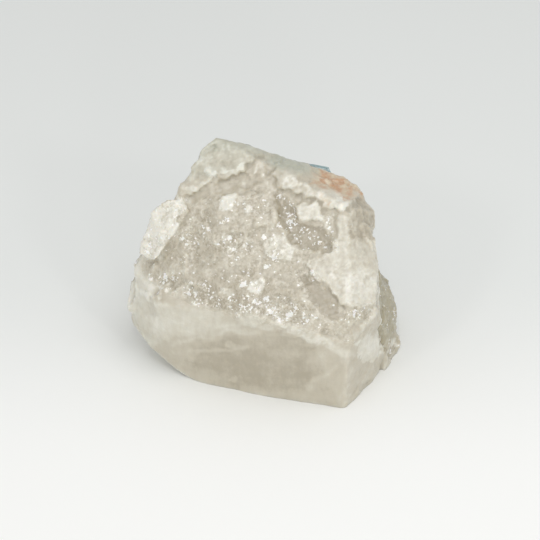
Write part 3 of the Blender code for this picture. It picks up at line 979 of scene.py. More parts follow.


# How milky the front is, each layer laid over the last: 0 is smoky and clear, 1 is white; some layers are
# painted light and shade, as said where they stand
MILK = (
    # The smooth face below: clear and smoky in the middle, milky to the left, with veils across it
    Patch(
        ((-54, -15), (-20, -15.5), (2, -19), (24, -25), (30, -28), (48, -28), (48, -54), (-54, -54)),
        0.34,
        4,
    ),
    # Lighter at the left end: milky quartz, and painted light where light comes through the thin edge
    Patch(((-56, 8), (-47, 4), (-43, -6), (-45, -18), (-42, -28), (-56, -30)), 0.82, 5),
    Patch(
        (
            (-52, -10), (-40, -13), (-25, -15), (-10, -17), (-4, -19), (-12, -22), (-25, -23.5), (-34, -25),
            (-44, -28), (-52, -25),
        ),
        0.62,
        6,
    ),
    Patch(((-46, -17), (-36, -16.5), (-30, -18.5), (-34, -21.5), (-44, -22.5)), 0.76, 4),
    Patch(
        (
            (-31, -27), (-18, -24.5), (-5, -26), (5, -30), (16, -34), (21, -38), (16, -43.5), (4, -44.5),
            (-8, -43), (-20, -40), (-30, -36),
        ),
        0.0,
        10,
    ),
    Patch(((-6, -22), (3, -21), (12, -23.5), (19, -28), (14, -31), (2, -31), (-6, -29)), 0.14, 6),
    Streak(((-8, -18.4), (4, -19.6), (14, -23.6), (22, -27.4), (28.5, -31.4)), 0.64, 6.0),
    Streak(((6, -22), (12, -23.6), (20, -27), (26, -29.8)), 0.64, 2.8),
    Streak(((-20, -20.6), (-8, -20.2), (3, -20), (10, -22)), 0.66, 3.0),
    Streak(((-36, -28), (-24, -24), (-12, -22.6), (-4, -23)), 0.5, 4.0),
    Streak(((-30, -31), (-20, -28.6), (-8, -28)), 0.3, 3.0),
    Streak(((14, -44), (20, -39), (26, -35), (29, -32)), 0.58, 5.0),
    Patch(((15.6, -42), (28, -32.3), (28.6, -38), (26.8, -52), (14, -51)), 0.3, 4),
    Patch(((28, -32), (28.6, -38), (27, -52), (46, -36), (43, -30), (38, -34), (33, -33)), 0.32, 1.8),
    Streak(((29.2, -35), (29, -48)), 0.5, 1.8),
    Streak(((34, -36), (33, -44)), 0.5, 1.6),
    Streak(((38, -34.6), (37, -40)), 0.44, 1.6),
    Patch(((28, -15), (38, -14), (41, -22), (36, -24), (30, -27), (24, -25), (20, -19)), 0.4, 3),
    Patch(
        (
            (31, -29.5), (32, -26.5), (34, -24.6), (37, -24), (41, -24.6), (43, -27), (42, -31),
            (38.5, -33.8), (34, -33.4),
        ),
        0.74,
        1.2,
    ),
    # The crust and the cap
    Patch(
        (
            (-43, 26), (-38.5, 28), (-34, 27.6), (-29.6, 25), (-29.4, 21.6), (-31.6, 18.4), (-34.6, 15.2),
            (-36, 12), (-38.4, 9), (-40, 6), (-42, 3.6), (-46, 3.6), (-52, 8), (-52, 20),
        ),
        0.88,
        2.4,
    ),
    Patch(((-46, 19), (-40, 25), (-36, 24), (-38, 20), (-41, 15), (-43, 10), (-48, 9)), 0.95, 2),
    Patch(((-40, 24), (-30, 28), (-24, 32), (-13, 34), (-6, 39), (2, 46), (-30, 56), (-46, 40)), 0.34),
    Patch(((-25, 36.5), (-22, 41), (-17, 42), (-11, 41), (-8.6, 38), (-13, 35), (-20, 34.8)), 0.5, 1.4),
    Patch(((-21, 38.2), (-19, 41), (-14, 41.4), (-11.4, 39), (-15, 37.4)), 0.2, 2.0),
    Streak(((-24.5, 36.6), (-20.4, 35.2), (-16, 35.3), (-12.4, 36.6), (-8.6, 38.4)), 1.1, 2.6),
    Streak(((-31, 28.4), (-25, 31), (-20, 33.2)), 0.72, 1.6),
    Streak(((-27, 36), (-26, 40), (-22, 42)), 0.66, 1.4),
    Streak(((-8, 37.6), (-3, 40.6), (2, 42), (6, 43.6)), 0.02, 2.2),
    Streak(((-24, 49.6), (-12, 47.6), (-2, 45.4)), 0.1, 3.0),
    Streak(((-17, 43.6), (-10, 44), (-4, 45)), 0.5, 1.2),
    Patch(
        ((-31, 25.5), (-21, 31), (-9, 34.5), (0, 41), (4, 41), (-3, 32.5), (-7, 29.8), (-20, 27)),
        0.4,
        1.6,
    ),
    Streak(((-9, 33.4), (-5, 35), (-1, 37.6)), 0.0, 2.4),
    Streak(((-3.8, 34.4), (-2.4, 35.4)), 1.0, 1.0),
    Streak(((-14, 30), (-9, 31)), 0.7, 0.8),
    # The broken sheet
    Patch(BROKEN_SHEET, 0.3),
    Patch(((-18.5, 26.6), (-13, 27.4), (-11, 25.4), (-13.6, 23.6), (-15.6, 21.6), (-18.2, 21.8)), 0.9, 1.2),
    Streak(((-13, 21.6), (-8, 22.2), (-3, 21.2), (0, 22)), 0.75, 1.3),
    Streak(((-12, 25.2), (-6, 26), (-1, 25.2)), 0.6, 1.2),
    Patch(
        ((-2.4, 10.8), (1, 12.5), (6, 12), (9.2, 7), (8, 4.6), (5, 3.6), (1, 4.4), (-1.5, 6.5)),
        0.64,
        1.2,
    ),
    # The pit and its flake
    Patch(PIT, -0.2, 2.2),
    Patch(FLAKE, 0.72),
    Patch(((9.6, 7.6), (16, 6.6), (22.6, 8.6), (24, 21), (20, 21.5), (19, 17.4), (21, 12), (22, 9)), 0.46),
    # The overhanging block and the shoulder
    Patch(
        (
            (5, 29.4), (12, 27), (15.5, 26), (20.5, 22.6), (24.5, 21.2), (28, 21.6), (29.2, 24.5), (26, 28),
            (20, 30), (12, 32), (6, 34),
        ),
        0.62,
    ),
    Patch(((20, 24), (24.5, 21.6), (28, 22), (28.6, 25), (24, 26.4)), 0.85),
    Patch(((28, 21), (30, 25.5), (34, 27), (40, 27), (42, 10), (30, 9), (27.5, 14)), 0.08, 1.6),
    # Painted shadow under the lower edge of the overhanging block
    Streak(((9.3, 27.6), (13, 26.7), (16.7, 25.8), (19.4, 23.2)), -0.3, 1.3),
    Streak(((33.8, 28.2), (35.4, 27.6), (37, 26.4)), -0.2, 1.0),
    Streak(((31, 9), (30.5, 15), (29, 21)), 0.55, 2.2),
    # The white sheet and the smooth facets broken out under it
    Patch(
        (
            (24.2, 21), (28, 19), (29, 11), (38, 11), (44, 8), (44, -8), (38.7, -12), (35.5, -13.6),
            (32, -14.2), (29.5, -12.6), (26.8, -12), (24.4, -9.8), (21.8, -7), (18.8, -4.6), (16, -2.4),
            (13.8, 0.6), (14.5, 3.4), (18, 4), (21, 7), (23, 9.5), (24, 14),
        ),
        0.56,
    ),
    Patch(((28, -1), (33, 1), (38.5, -2), (38.5, -11), (33, -13.4), (28.5, -11), (26, -6)), 0.78, 2.5),
    Patch(UPPER_FACET, -0.3),
    Patch(LOWER_FACET, -0.25),
    Streak(((21, -17.6), (25.5, -14.4), (28.6, -15.6)), 0.6, 1.0),
    # Single bright and clear places on the slope
    Patch(((-24, -1), (-4, -1), (-1, -9), (-4, -14), (-20, -14), (-27, -10)), 0.08, 3),
    Patch(((-8.6, -7.2), (-6, -3.4), (-2.6, -3), (-1.6, -5), (-5, -8)), 0.95),
    Patch(((-17.6, -6.6), (-13.6, -6.6), (-12.8, -8.6), (-15.4, -10.4), (-18, -9.4)), 0.6),
    Patch(((-16.6, -26.9), (-13.4, -26.8), (-13.5, -28.1), (-16.5, -28.2)), 0.36, 1.2),
    Patch(((-13.6, -39.9), (-11, -39.8), (-10.9, -41.8), (-13.5, -41.9)), 0.34, 1.2),
    Patch(((-23, 14), (-22, 25), (-29, 24), (-34, 17), (-30, 12), (-25, 10)), 0.3),
    Patch(((-16.6, 11), (-9, 10.4), (-3, 6), (-5, 2), (-12, 3), (-18, 7)), 0.24),
    # Painted highlights: white streaks along the rims of the shell-shaped scars, where the rims catch the
    # light
    Streak(((-43.6, -5.6), (-38, -7.6), (-33, -7.8)), 0.95, 1.4),
    Streak(((-40, -1.6), (-35, -3)), 0.9, 1.2),
    Streak(((-45, -10), (-40, -9.8), (-39, -12), (-44, -12.6), (-45.6, -11)), 0.9, 1.0),
    Streak(((-29, -8), (-25, -6.6), (-22, -9)), 0.8, 1.0),
    Streak(((-29, -11.4), (-24, -12.6), (-20, -11)), 0.85, 1.0),
)

# How much of the front's grain catches the light: it tips the grains and makes them glossier, and sets how
# many get painted glints
GLITTER = (
    Patch(
        (
            (-46, 2), (-34, 14), (-29, 22), (-22, 26), (0, 29), (9, 26), (10, 18), (20, 16), (24, 8),
            (14, 2), (28, -16), (30, -26), (12, -21), (-7, -16), (-26, -13), (-48, -11),
        ),
        0.42,
        3,
    ),
    Patch(((-46, -3), (-36, -1), (-32, -8), (-40, -9), (-46, -9)), 0.9, 2),
    Patch(
        ((-30, -4), (-23, -4.5), (-22, -9), (-16, -9), (-13, -13), (-20, -14.6), (-28, -12.5), (-32, -10)),
        1.0,
        2,
    ),
    Patch(
        ((-14, -8), (-7, -10), (0, -9), (3, -12), (12, -12), (15, -17), (8, -19.4), (0, -17), (-12, -16)),
        1.0,
        1.6,
    ),
    Patch(((-6, -3.4), (-1, -3), (0, -7), (-4, -8.4), (-7, -7)), 1.0, 1.6),
    Patch(((-2, 6.6), (3, 7.6), (3.4, 3), (-1, 3)), 1.0, 1.2),
    Patch(((18, 12.4), (24, 14), (24, 7), (19, 6.6)), 1.0, 1.6),
    Patch(((-29, 19), (-22, 21), (-22, 10), (-30, 8), (-35, 12)), 0.85, 2),
    Patch(((-18, 14), (-8, 12), (-6, 7), (-14, 5), (-24, 8)), 0.85, 2),
    Patch(
        (
            (1, 27.5), (5, 27), (8.6, 20), (9.4, 17.2), (17.5, 15.2), (22.4, 9.4), (15, 6.8), (7.6, 11),
            (3.2, 19.5),
        ),
        1.0,
    ),
    Patch(((14, 1), (20, -3), (16, -9), (10, -6), (8, 0)), 0.8, 2),
    Patch(((-12, -8), (-4, -9), (2, -10), (8, -12), (12, -15), (4, -17), (-6, -15), (-13, -13)), 1.3, 2),
    Patch(((-46, 16), (-40, 27), (-31, 27), (-30, 21), (-36, 12), (-41, 4), (-48, 6)), 0.6, 2),
    Patch(((29, -14), (38, -13), (37, -18), (29, -19), (24, -18)), 0.9, 2),
    Patch(((-18, 26), (0, 27), (2, 20), (-14, 20)), 0.7, 2),
    Patch(((13, 4), (22, 9), (24, 20), (20, 21), (18, 12), (10, 6)), 0.7, 2),
    Patch(UPPER_FACET, 0.08),
    Patch(LOWER_FACET, 0.08),
)

# Where rust has crept into the crest
STAIN = (
    Patch(
        ((14, 37.6), (20, 40), (32, 38), (42, 26), (36, 26), (31, 27.6), (25, 28.6), (19, 30), (15, 33)),
        0.5,
        4,
    ),
    Patch(((17, 33.4), (20, 37), (26, 36.4), (33, 31), (29, 28), (25, 27.6), (21, 30.4)), 1.0, 2.4),
    Streak(((33, 28.4), (36, 27.4), (38.6, 24)), 1.0, 1.8),
    Streak(((15.6, 31.8), (20.4, 33), (27, 29.6), (28.6, 27.4)), 0.95, 1.4),
    Streak(((27.6, 25.4), (30.4, 27)), 1.0, 1.2),
    Streak(((30, 34), (35, 31), (39, 26.6)), 0.8, 3.0),
    Streak(((18.6, 27.6), (20.6, 25.4), (21, 23.4)), 0.8, 1.4),
)

# Where beryl under the quartz tints it
GREEN = (
    Patch(((-2, 40), (0, 46), (14, 44), (21, 37.6), (16, 34), (8, 35.4), (2, 36.4)), 0.9, 4),
    Patch(((-32, 34), (-26, 52), (0, 48), (2, 43), (-6, 40), (-14, 35), (-26, 34)), 0.36, 4),
    Patch(((-28, 47), (-24, 52), (0, 48), (2, 43), (-6, 42.4), (-18, 44), (-26, 41)), 0.7, 4),
    Patch(((-54, 8), (-48, 2), (-47, -20), (-44, -30), (-54, -30)), 0.12, 4),
)


@dataclass
class Marking:
    """Marks the kinds of quartz on the block, as drawn on its front and by chance elsewhere, with painted
    highlights on its ridges and painted shade in its hollows and crack.
    """

    seed: int = 77
    spread_steps: int = 24
    plain_milk: float = 0.3
    swell: float = 9.0
    swell_shift: float = 55.3
    blur: float = 1.8
    # (steps of averaging, weight) for the painted highlights on ridges and painted shade in hollows, fine
    # and broad
    ridges: tuple[tuple[int, float], ...] = ((4, 2.2), (24, 0.8))

    def drawn(self, layers: tuple[Patch | Streak, ...], spots: Spots, plain: float) -> np.ndarray:
        """Lays layers one over another.

        Args:
            layers: the layers, lowest first.
            spots: where the block's points lie.
            plain: the level under them all.

        Returns:
            One level to a point.
        """
        levels = np.full(len(spots.crisp), plain)
        for layer in layers:
            levels = layer.laid(spots, levels)
        return levels

    def spots(self, points: np.ndarray, noise: Noise) -> Spots:
        """Where points lie in the front's plane."""
        stray = noise.stray(points, self.swell, self.swell_shift)
        return Spots(crisp=FRONT.wavered(points), blurred=FRONT.flat(points) + self.blur * stray)

    def crack(self, points: np.ndarray) -> np.ndarray:
        """Marks the painted shade along the crack at the right end, a dark line.

        Args:
            points: the block's points, one to a row.

        Returns:
            1 in the crack and 0 off it, one value to a point.
        """
        line = 1 - smooth_step(distance_to_line(RIGHT.flat(points), CRACK), 0.3, 1.1)
        return line * (smooth_step(points[:, 0], 33, 37) * smooth_step(points[:, 2], 5, 10))

    def mark(self, mesh: bpy.types.Mesh, matrix: QuartzMatrix) -> None:
        """Stores the kinds of quartz on the mesh, and the painted light and shade on it.

        Args:
            mesh: the block's mesh.
            matrix: the block.
        """
        noise = Noise(self.seed)
        points, normals = read_points(mesh)
        broad = averaged(mesh, normals, self.spread_steps)
        broad /= np.linalg.norm(broad, axis=1)[:, None]
        facing = smooth_step(broad @ FRONT.axes()[2], 0.1, 0.35)
        front = facing * smooth_step(24 - points[:, 1], 0, 5)
        cleft = matrix.smoothness(points, normals)
        lump = matrix.lump_share(points)
        # Painted shade along the crack: below, it darkens the milk and is tinted olive
        crack = self.crack(points)

        # As drawn in front, and in clouds on the other sides
        spots = self.spots(points, noise)
        clouds = smooth_step(noise.rough(points, 17, 4), -0.5, 0.7)
        dusty = smooth_step(noise.waves(points, 12), -0.2, 0.5)
        milk = front * self.drawn(MILK, spots, self.plain_milk) + (1 - front) * (0.12 + 0.62 * clouds)
        glitter = front * self.drawn(GLITTER, spots, 0.0) + (1 - front) * 0.55 * dusty
        stain = self.drawn(STAIN, spots, 0.0) * smooth_step(30 - points[:, 1], 0, 10)

        # Unlike from chip to chip where it is broken, and drifting where it is cleft
        large = noise.chips(points + 1.5 * noise.waves(points, 5)[:, None], 6.5).shade - 0.5
        small = noise.chips(points + 0.5 * noise.waves(points, 2)[:, None], 2.4).shade - 0.5
        drift = noise.rough(points * (0.5, 0.5, 1.4), 7)
        milk += (1 - cleft) * (0.14 * large + 0.12 * small) + cleft * 0.12 * drift

        # The lump behind the crack is olive with milky blots, partly milky quartz and partly painted glints
        blots_and_painted_glints = smooth_step(noise.waves(points, 3.2), 0.1, 0.45)
        milk = milk * (1 - lump) + lump * (0.16 + 0.84 * blots_and_painted_glints) - 0.9 * crack
        olive = lump * (0.2 + 0.8 * smooth_step(points[:, 2] + 6 * noise.waves(points, 9), 6, 14))
        glitter = np.maximum(glitter * (1 - lump), 0.45 * lump) * (1 - cleft)

        # Painted highlight and shade: points that stand out from their neighbours are lighter, hollows
        # darker
        relief = sum(
            np.einsum("ij,ij->i", points - averaged(mesh, points, steps), broad) * weight
            for steps, weight in self.ridges
        )
        write_attribute(mesh, Zone.MILK.value, np.clip(milk, -0.3, 1))
        write_attribute(mesh, Zone.GLITTER.value, np.clip(glitter, 0, 1))
        write_attribute(mesh, Zone.STAIN.value, stain)
        write_attribute(mesh, Zone.GREEN.value, self.drawn(GREEN, spots, 0.0))
        # The olive tint also carries the painted shade of the crack
        write_attribute(mesh, Zone.OLIVE.value, np.maximum(olive, 0.8 * crack))
        write_attribute(mesh, Zone.RIDGE_SHADE.value, np.clip(0.5 + relief, 0, 1))


class Operation(Enum):
    """What a Math node does with its two numbers."""

    ADD = "ADD"
    SUBTRACT = "SUBTRACT"
    MULTIPLY = "MULTIPLY"
    POWER = "POWER"
    LESS_THAN = "LESS_THAN"
    MAXIMUM = "MAXIMUM"


class Wiring:
    """Adds and joins the nodes of one material."""

    def __init__(self, name: str) -> None:
        """Starts an empty material.

        Args:
            name: the material's name.
        """
        self.material = bpy.data.materials.new(name)
        self.material.use_nodes = True
        self.tree = self.material.node_tree
        self.tree.nodes.clear()
        self.place = self.node("ShaderNodeTexCoord").outputs["Object"]

    def node(self, kind: str, inputs: dict | None = None, **settings: object) -> bpy.types.Node:
        """Adds a node.

        Args:
            kind: the node's type.
            inputs: what goes into it by socket, a value or another node's output.
            settings: its own values by name.

        Returns:
            The node.
        """
        made = self.tree.nodes.new(kind)
        for name, value in settings.items():
            setattr(made, name, value)
        for socket, value in (inputs or {}).items():
            if isinstance(value, bpy.types.NodeSocket):
                self.tree.links.new(value, made.inputs[socket])
            else:
                made.inputs[socket].default_value = value
        return made

    def attribute(self, name: str) -> bpy.types.NodeSocket:
        """The mesh's attribute of that name."""
        return self.node("ShaderNodeAttribute", attribute_name=name).outputs["Fac"]

    def noise(
        self, size: float, detail: float = 3.0, rough: float = 0.5, stretch: Point = (1, 1, 1)
    ) -> bpy.types.NodeSocket:
        """Rolling noise from about 0 to 1.

        Args:
            size: the width of a swell in millimetres.
            detail: how many finer sizes it has.
            rough: how strong they are.
            stretch: how much finer it is along X, Y and Z.

        Returns:
            The noise's socket.
        """
        mapped = self.node("ShaderNodeMapping", {"Vector": self.place, "Scale": stretch}).outputs[0]
        inputs = {"Vector": mapped, "Scale": 1 / (size * MM), "Detail": detail, "Roughness": rough}
        return self.node("ShaderNodeTexNoise", inputs).outputs["Fac"]

    def cells(self, size: float, stray: float = 0.5) -> bpy.types.NodeSocket:
        """Angular cells, as of sugary grains, each of a colour by chance.

        Args:
            size: the width of a cell in millimetres.
            stray: how far their edges stray, as a share of that width.

        Returns:
            The colour's socket.
        """
        inputs = {"Vector": self.place, "Scale": 1 / (0.8 * size * MM), "Detail": 2.0}
        drift = self.off_centre(self.node("ShaderNodeTexNoise", inputs).outputs["Color"])
        inputs = {0: drift, 1: (2 * stray * size * MM,) * 3, 2: self.place}
        strayed = self.node("ShaderNodeVectorMath", inputs, operation="MULTIPLY_ADD").outputs[0]
        inputs = {"Vector": strayed, "Scale": 1 / (size * MM)}
        return self.node("ShaderNodeTexVoronoi", inputs).outputs["Color"]

    def off_centre(self, colour: bpy.types.NodeSocket) -> bpy.types.NodeSocket:
        """A colour by chance turned into a direction by chance."""
        inputs = {0: colour, 1: (0.5, 0.5, 0.5)}
        return self.node("ShaderNodeVectorMath", inputs, operation="SUBTRACT").outputs[0]

    def ramp(self, value: bpy.types.NodeSocket, low: float, high: float) -> bpy.types.NodeSocket:
        """0 where value is below low, 1 where it is above high."""
        inputs = {"Value": value, "From Min": low, "From Max": high}
        return self.node("ShaderNodeMapRange", inputs, interpolation_type="SMOOTHSTEP").outputs[0]

    def span(self, share: bpy.types.NodeSocket, start: float, end: float) -> bpy.types.NodeSocket:
        """From start to end as a share goes from 0 to 1."""
        inputs = {"Value": share, "To Min": start, "To Max": end}
        return self.node("ShaderNodeMapRange", inputs).outputs[0]

    def math(self, operation: Operation, a: object, b: object) -> bpy.types.NodeSocket:
        """Two numbers brought together."""
        return self.node("ShaderNodeMath", {0: a, 1: b}, operation=operation.value).outputs[0]

    def plus(self, a: object, b: object) -> bpy.types.NodeSocket:
        """Two numbers added."""
        return self.math(Operation.ADD, a, b)

    def times(self, a: object, b: object) -> bpy.types.NodeSocket:
        """Two numbers multiplied."""
        return self.math(Operation.MULTIPLY, a, b)

    def centred(self, share: bpy.types.NodeSocket, strength: object) -> bpy.types.NodeSocket:
        """A share from 0 to 1, moved to lie evenly round 0 and made as strong as is said."""
        return self.times(self.math(Operation.SUBTRACT, share, 0.5), strength)

    def mix(self, factor: object, a: object, b: object, blend: str = "MIX") -> bpy.types.NodeSocket:
        """Two colours brought together.

        Args:
            factor: how much of the second.
            a: the first colour.
            b: the second colour.
            blend: how they blend.

        Returns:
            The colour's socket.
        """
        made = self.node("ShaderNodeMix", data_type="RGBA", blend_type=blend)
        for socket, value in ((made.inputs[0], factor), (made.inputs[6], a), (made.inputs[7], b)):
            if isinstance(value, bpy.types.NodeSocket):
                self.tree.links.new(value, socket)
            else:
                socket.default_value = (*value, 1) if isinstance(value, tuple) else value
        return made.outputs[2]

    def bump(
        self, height: bpy.types.NodeSocket, depth: float, under: bpy.types.NodeSocket | None = None
    ) -> bpy.types.NodeSocket:
        """A bumped normal.

        Args:
            height: the relief, from 0 to 1.
            depth: how deep it is in millimetres.
            under: a normal that it lies on.

        Returns:
            The normal's socket.
        """
        inputs = {"Height": height, "Distance": depth * MM, "Strength": 1.0}
        if under is not None:
            inputs["Normal"] = under
        return self.node("ShaderNodeBump", inputs).outputs[0]

    def facets(self, cells: bpy.types.NodeSocket, turn: bpy.types.NodeSocket) -> bpy.types.NodeSocket:
        """A normal turned by chance in each grain.

        Args:
            cells: the grains, each of a colour by chance.
            turn: how far they are turned.

        Returns:
            The normal's socket.
        """
        inputs = {0: self.off_centre(cells), "Scale": turn}
        turned = self.node("ShaderNodeVectorMath", inputs, operation="SCALE").outputs[0]
        level = self.node("ShaderNodeNewGeometry").outputs["Normal"]
        total = self.node("ShaderNodeVectorMath", {0: level, 1: turned}, operation="ADD").outputs[0]
        return self.node("ShaderNodeVectorMath", {0: total}, operation="NORMALIZE").outputs[0]

    def surface(self, inputs: dict) -> bpy.types.Material:
        """Ends the material in one Principled shader.

        Args:
            inputs: what goes into the shader.

        Returns:
            The material.
        """
        shader = self.node("ShaderNodeBsdfPrincipled", inputs)
        self.node("ShaderNodeOutputMaterial", {"Surface": shader.outputs[0]})
        return self.material


Zones = dict[Zone, bpy.types.NodeSocket]
Channels = bpy.types.NodeOutputs


@dataclass(frozen=True)
class QuartzFinish:
    """Quartz from smoky and clear to milky white, sugary where it broke, with painted glints in its grain.
    """

    clear: Colour = (0.42, 0.375, 0.285)
    smoky: Colour = (0.55, 0.505, 0.405)
    milky: Colour = (0.65, 0.62, 0.525)
    white: Colour = (0.79, 0.77, 0.69)
    stain: Colour = (0.50, 0.27, 0.14)
    stain_edge: Colour = (0.64, 0.52, 0.355)
    green: Colour = (0.41, 0.455, 0.375)
    olive: Colour = (0.36, 0.32, 0.205)
    # Near white painted into chosen grains as painted glints
    painted_glint: Colour = (0.96, 0.955, 0.93)
    coarse_grain: float = 1.5
    fine_grain: float = 0.6
    bloom: float = 2.5
    bump_depth: float = 0.14

    def milkiness(
        self, nodes: Wiring, zone: Zones, grains: Channels, specks: Channels
    ) -> bpy.types.NodeSocket:
        """Works out how milky the quartz is, point by point.

        Args:
            nodes: the material's nodes.
            zone: what the mesh says of the quartz.
            grains: three numbers by chance for each coarse grain.
            specks: the same for each fine one.

        Returns:
            The level: as marked, clouded, lighter along its ridges as painted highlight and darker in its
                hollows as painted shade, and unlike by grain, partly as painted facet shading.
        """
        cloud = nodes.centred(nodes.noise(6.0, 6.0, 0.6), 0.5)
        threads = nodes.centred(nodes.noise(1.6, 3.0, 0.6, (1, 1, 0.3)), 0.3)
        # Painted highlight on ridges and painted shade in hollows
        ridge_shade = nodes.centred(zone[Zone.RIDGE_SHADE], 0.4)
        milk = nodes.plus(nodes.plus(zone[Zone.MILK], cloud), nodes.plus(ridge_shade, threads))
        # Grain by grain lighter and darker: random tone, and partly painted facet shading and sparkle in the
        # sugary grain
        grain_tone_and_painted_sparkle = nodes.plus(nodes.times(grains[1], 0.4), nodes.times(specks[1], 0.6))
        strength = nodes.times(nodes.plus(zone[Zone.GLITTER], 0.12), 0.9)
        return nodes.plus(milk, nodes.centred(grain_tone_and_painted_sparkle, strength))

    def body(self, nodes: Wiring, zone: Zones, milk: bpy.types.NodeSocket) -> bpy.types.NodeSocket:
        """Works out the quartz's own colour.

        Args:
            nodes: the material's nodes.
            zone: what the mesh says of the quartz.
            milk: how milky it is.

        Returns:
            The colour's socket, with the green, rust and olive in it.
        """
        colour = nodes.mix(nodes.ramp(milk, -0.1, 0.36), self.clear, self.smoky)
        colour = nodes.mix(nodes.ramp(milk, 0.3, 0.7), colour, self.milky)
        colour = nodes.mix(nodes.ramp(milk, 0.6, 1.0), colour, self.white)
        colour = nodes.mix(nodes.times(zone[Zone.GREEN], 0.6), colour, self.green)
        rust = nodes.times(zone[Zone.STAIN], nodes.ramp(nodes.noise(4.0, 5.0, 0.65), 0.4, 0.62))
        colour = nodes.mix(nodes.times(zone[Zone.STAIN], 0.6), colour, self.stain_edge)
        colour = nodes.mix(nodes.times(rust, 0.85), colour, self.stain)
        return nodes.mix(nodes.times(zone[Zone.OLIVE], 0.8), colour, self.olive)

    def painted_glints(
        self, nodes: Wiring, glitter: bpy.types.NodeSocket, grains: Channels, specks: Channels
    ) -> bpy.types.NodeSocket:
        """Picks the grains to paint near white as painted glints, standing in for grains that catch the
        light.

        Args:
            nodes: the material's nodes.
            glitter: how much the quartz glitters.
            grains: three numbers by chance for each coarse grain.
            specks: the same for each fine one.

        Returns:
            1 in those grains and 0 in the others.
        """
        patchy = nodes.ramp(nodes.noise(3.0, 4.0, 0.65), 0.36, 0.62)
        cluster = nodes.times(nodes.math(Operation.POWER, glitter, 2.0), patchy)
        small = nodes.math(Operation.LESS_THAN, specks[0], nodes.times(cluster, 0.16))
        large = nodes.math(Operation.LESS_THAN, grains[2], nodes.times(cluster, 0.09))
        return nodes.math(Operation.MAXIMUM, small, large)

    def material(self) -> bpy.types.Material:
        """Makes the block's material.

        Returns:
            The material.
        """
        nodes = Wiring("milky quartz")
        zone = {kind: nodes.attribute(kind.value) for kind in Zone}
        glitter = zone[Zone.GLITTER]
        coarse = nodes.cells(self.coarse_grain)
        fine = nodes.cells(self.fine_grain)
        grains = nodes.node("ShaderNodeSeparateColor", {0: coarse}).outputs
        specks = nodes.node("ShaderNodeSeparateColor", {0: fine}).outputs
        colour = self.body(nodes, zone, self.milkiness(nodes, zone, grains, specks))
        # Painted glints: chosen grains of the sugary quartz painted near white
        colour = nodes.mix(nodes.times(self.painted_glints(nodes, glitter, grains, specks), 0.8), colour, self.painted_glint)
        normal = nodes.facets(nodes.mix(0.4, coarse, fine), nodes.span(glitter, 0.14, 0.75))
        return nodes.surface(
            {
                "Base Color": colour,
                "Roughness": nodes.span(glitter, 0.3, 0.12),
                "IOR": 1.54,
                "Specular IOR Level": 0.9,
                "Subsurface Weight": 0.45,
                "Subsurface Radius": (1.0, 0.85, 0.65),
                "Subsurface Scale": self.bloom * MM,
                "Normal": nodes.bump(nodes.noise(1.1, 3.0, 0.6), self.bump_depth, normal),
            }
        )


@dataclass(frozen=True)
class AquamarineFinish:
    """Clear blue-green beryl with milky feathers in it."""

    clear: Colour = (0.46, 0.74, 0.78)
    cloudy: Colour = (0.62, 0.78, 0.77)
    worn: Colour = (0.80, 0.88, 0.86)
    bump_depth: float = 0.12

    def material(self) -> bpy.types.Material:
        """Makes the crystal's material.

        Returns:
            The material.
        """
        nodes = Wiring("aquamarine")
        feather = nodes.ramp(nodes.noise(5.0, 5.0, 0.65, (0.3, 1, 1)), 0.42, 0.68)
        ribs = nodes.ramp(nodes.noise(1.2, 3.0, 0.6, (0.08, 1, 1)), 0.5, 0.72)
        worn = nodes.attribute(WORN)
        colour = nodes.mix(feather, self.clear, self.cloudy)
        colour = nodes.mix(nodes.times(ribs, 0.35), colour, self.worn)
        colour = nodes.mix(nodes.times(worn, 0.7), colour, self.worn)
        return nodes.surface(
            {
                "Base Color": colour,
                "Roughness": nodes.span(worn, 0.08, 0.4),
                "IOR": 1.58,
                "Transmission Weight": nodes.span(nodes.math(Operation.MAXIMUM, feather, worn), 0.75, 0.15),
                "Normal": nodes.bump(nodes.noise(0.8, 3.0, 0.6, (0.1, 1, 1)), self.bump_depth),
            }
        )


@dataclass(frozen=True)
class FloorFinish:
    """A plain pale sweep, with painted shade that makes it a little darker towards the back."""

    near: Colour = (0.93, 0.935, 0.915)
    # The far colour is darker: painted shade for the light falling off towards the back
    far: Colour = (0.81, 0.83, 0.812)
    speck: Colour = (0.8, 0.8, 0.8)
    near_end: float = -80.0
    far_end: float = 60.0

    def material(self) -> bpy.types.Material:
        """Makes the floor's material.

        Returns:
            The material.
        """
        nodes = Wiring("pale floor")
        depth = nodes.node("ShaderNodeSeparateXYZ", {0: nodes.place}).outputs[1]
        # Painted shade: from the near colour to the darker far one
        painted_falloff = nodes.ramp(depth, self.near_end * MM, self.far_end * MM)
        colour = nodes.mix(painted_falloff, self.near, self.far)
        colour = nodes.mix(nodes.times(nodes.noise(40.0, 2.0), 0.03), colour, self.speck)
        return nodes.surface({"Base Color": colour, "Roughness": 0.7})


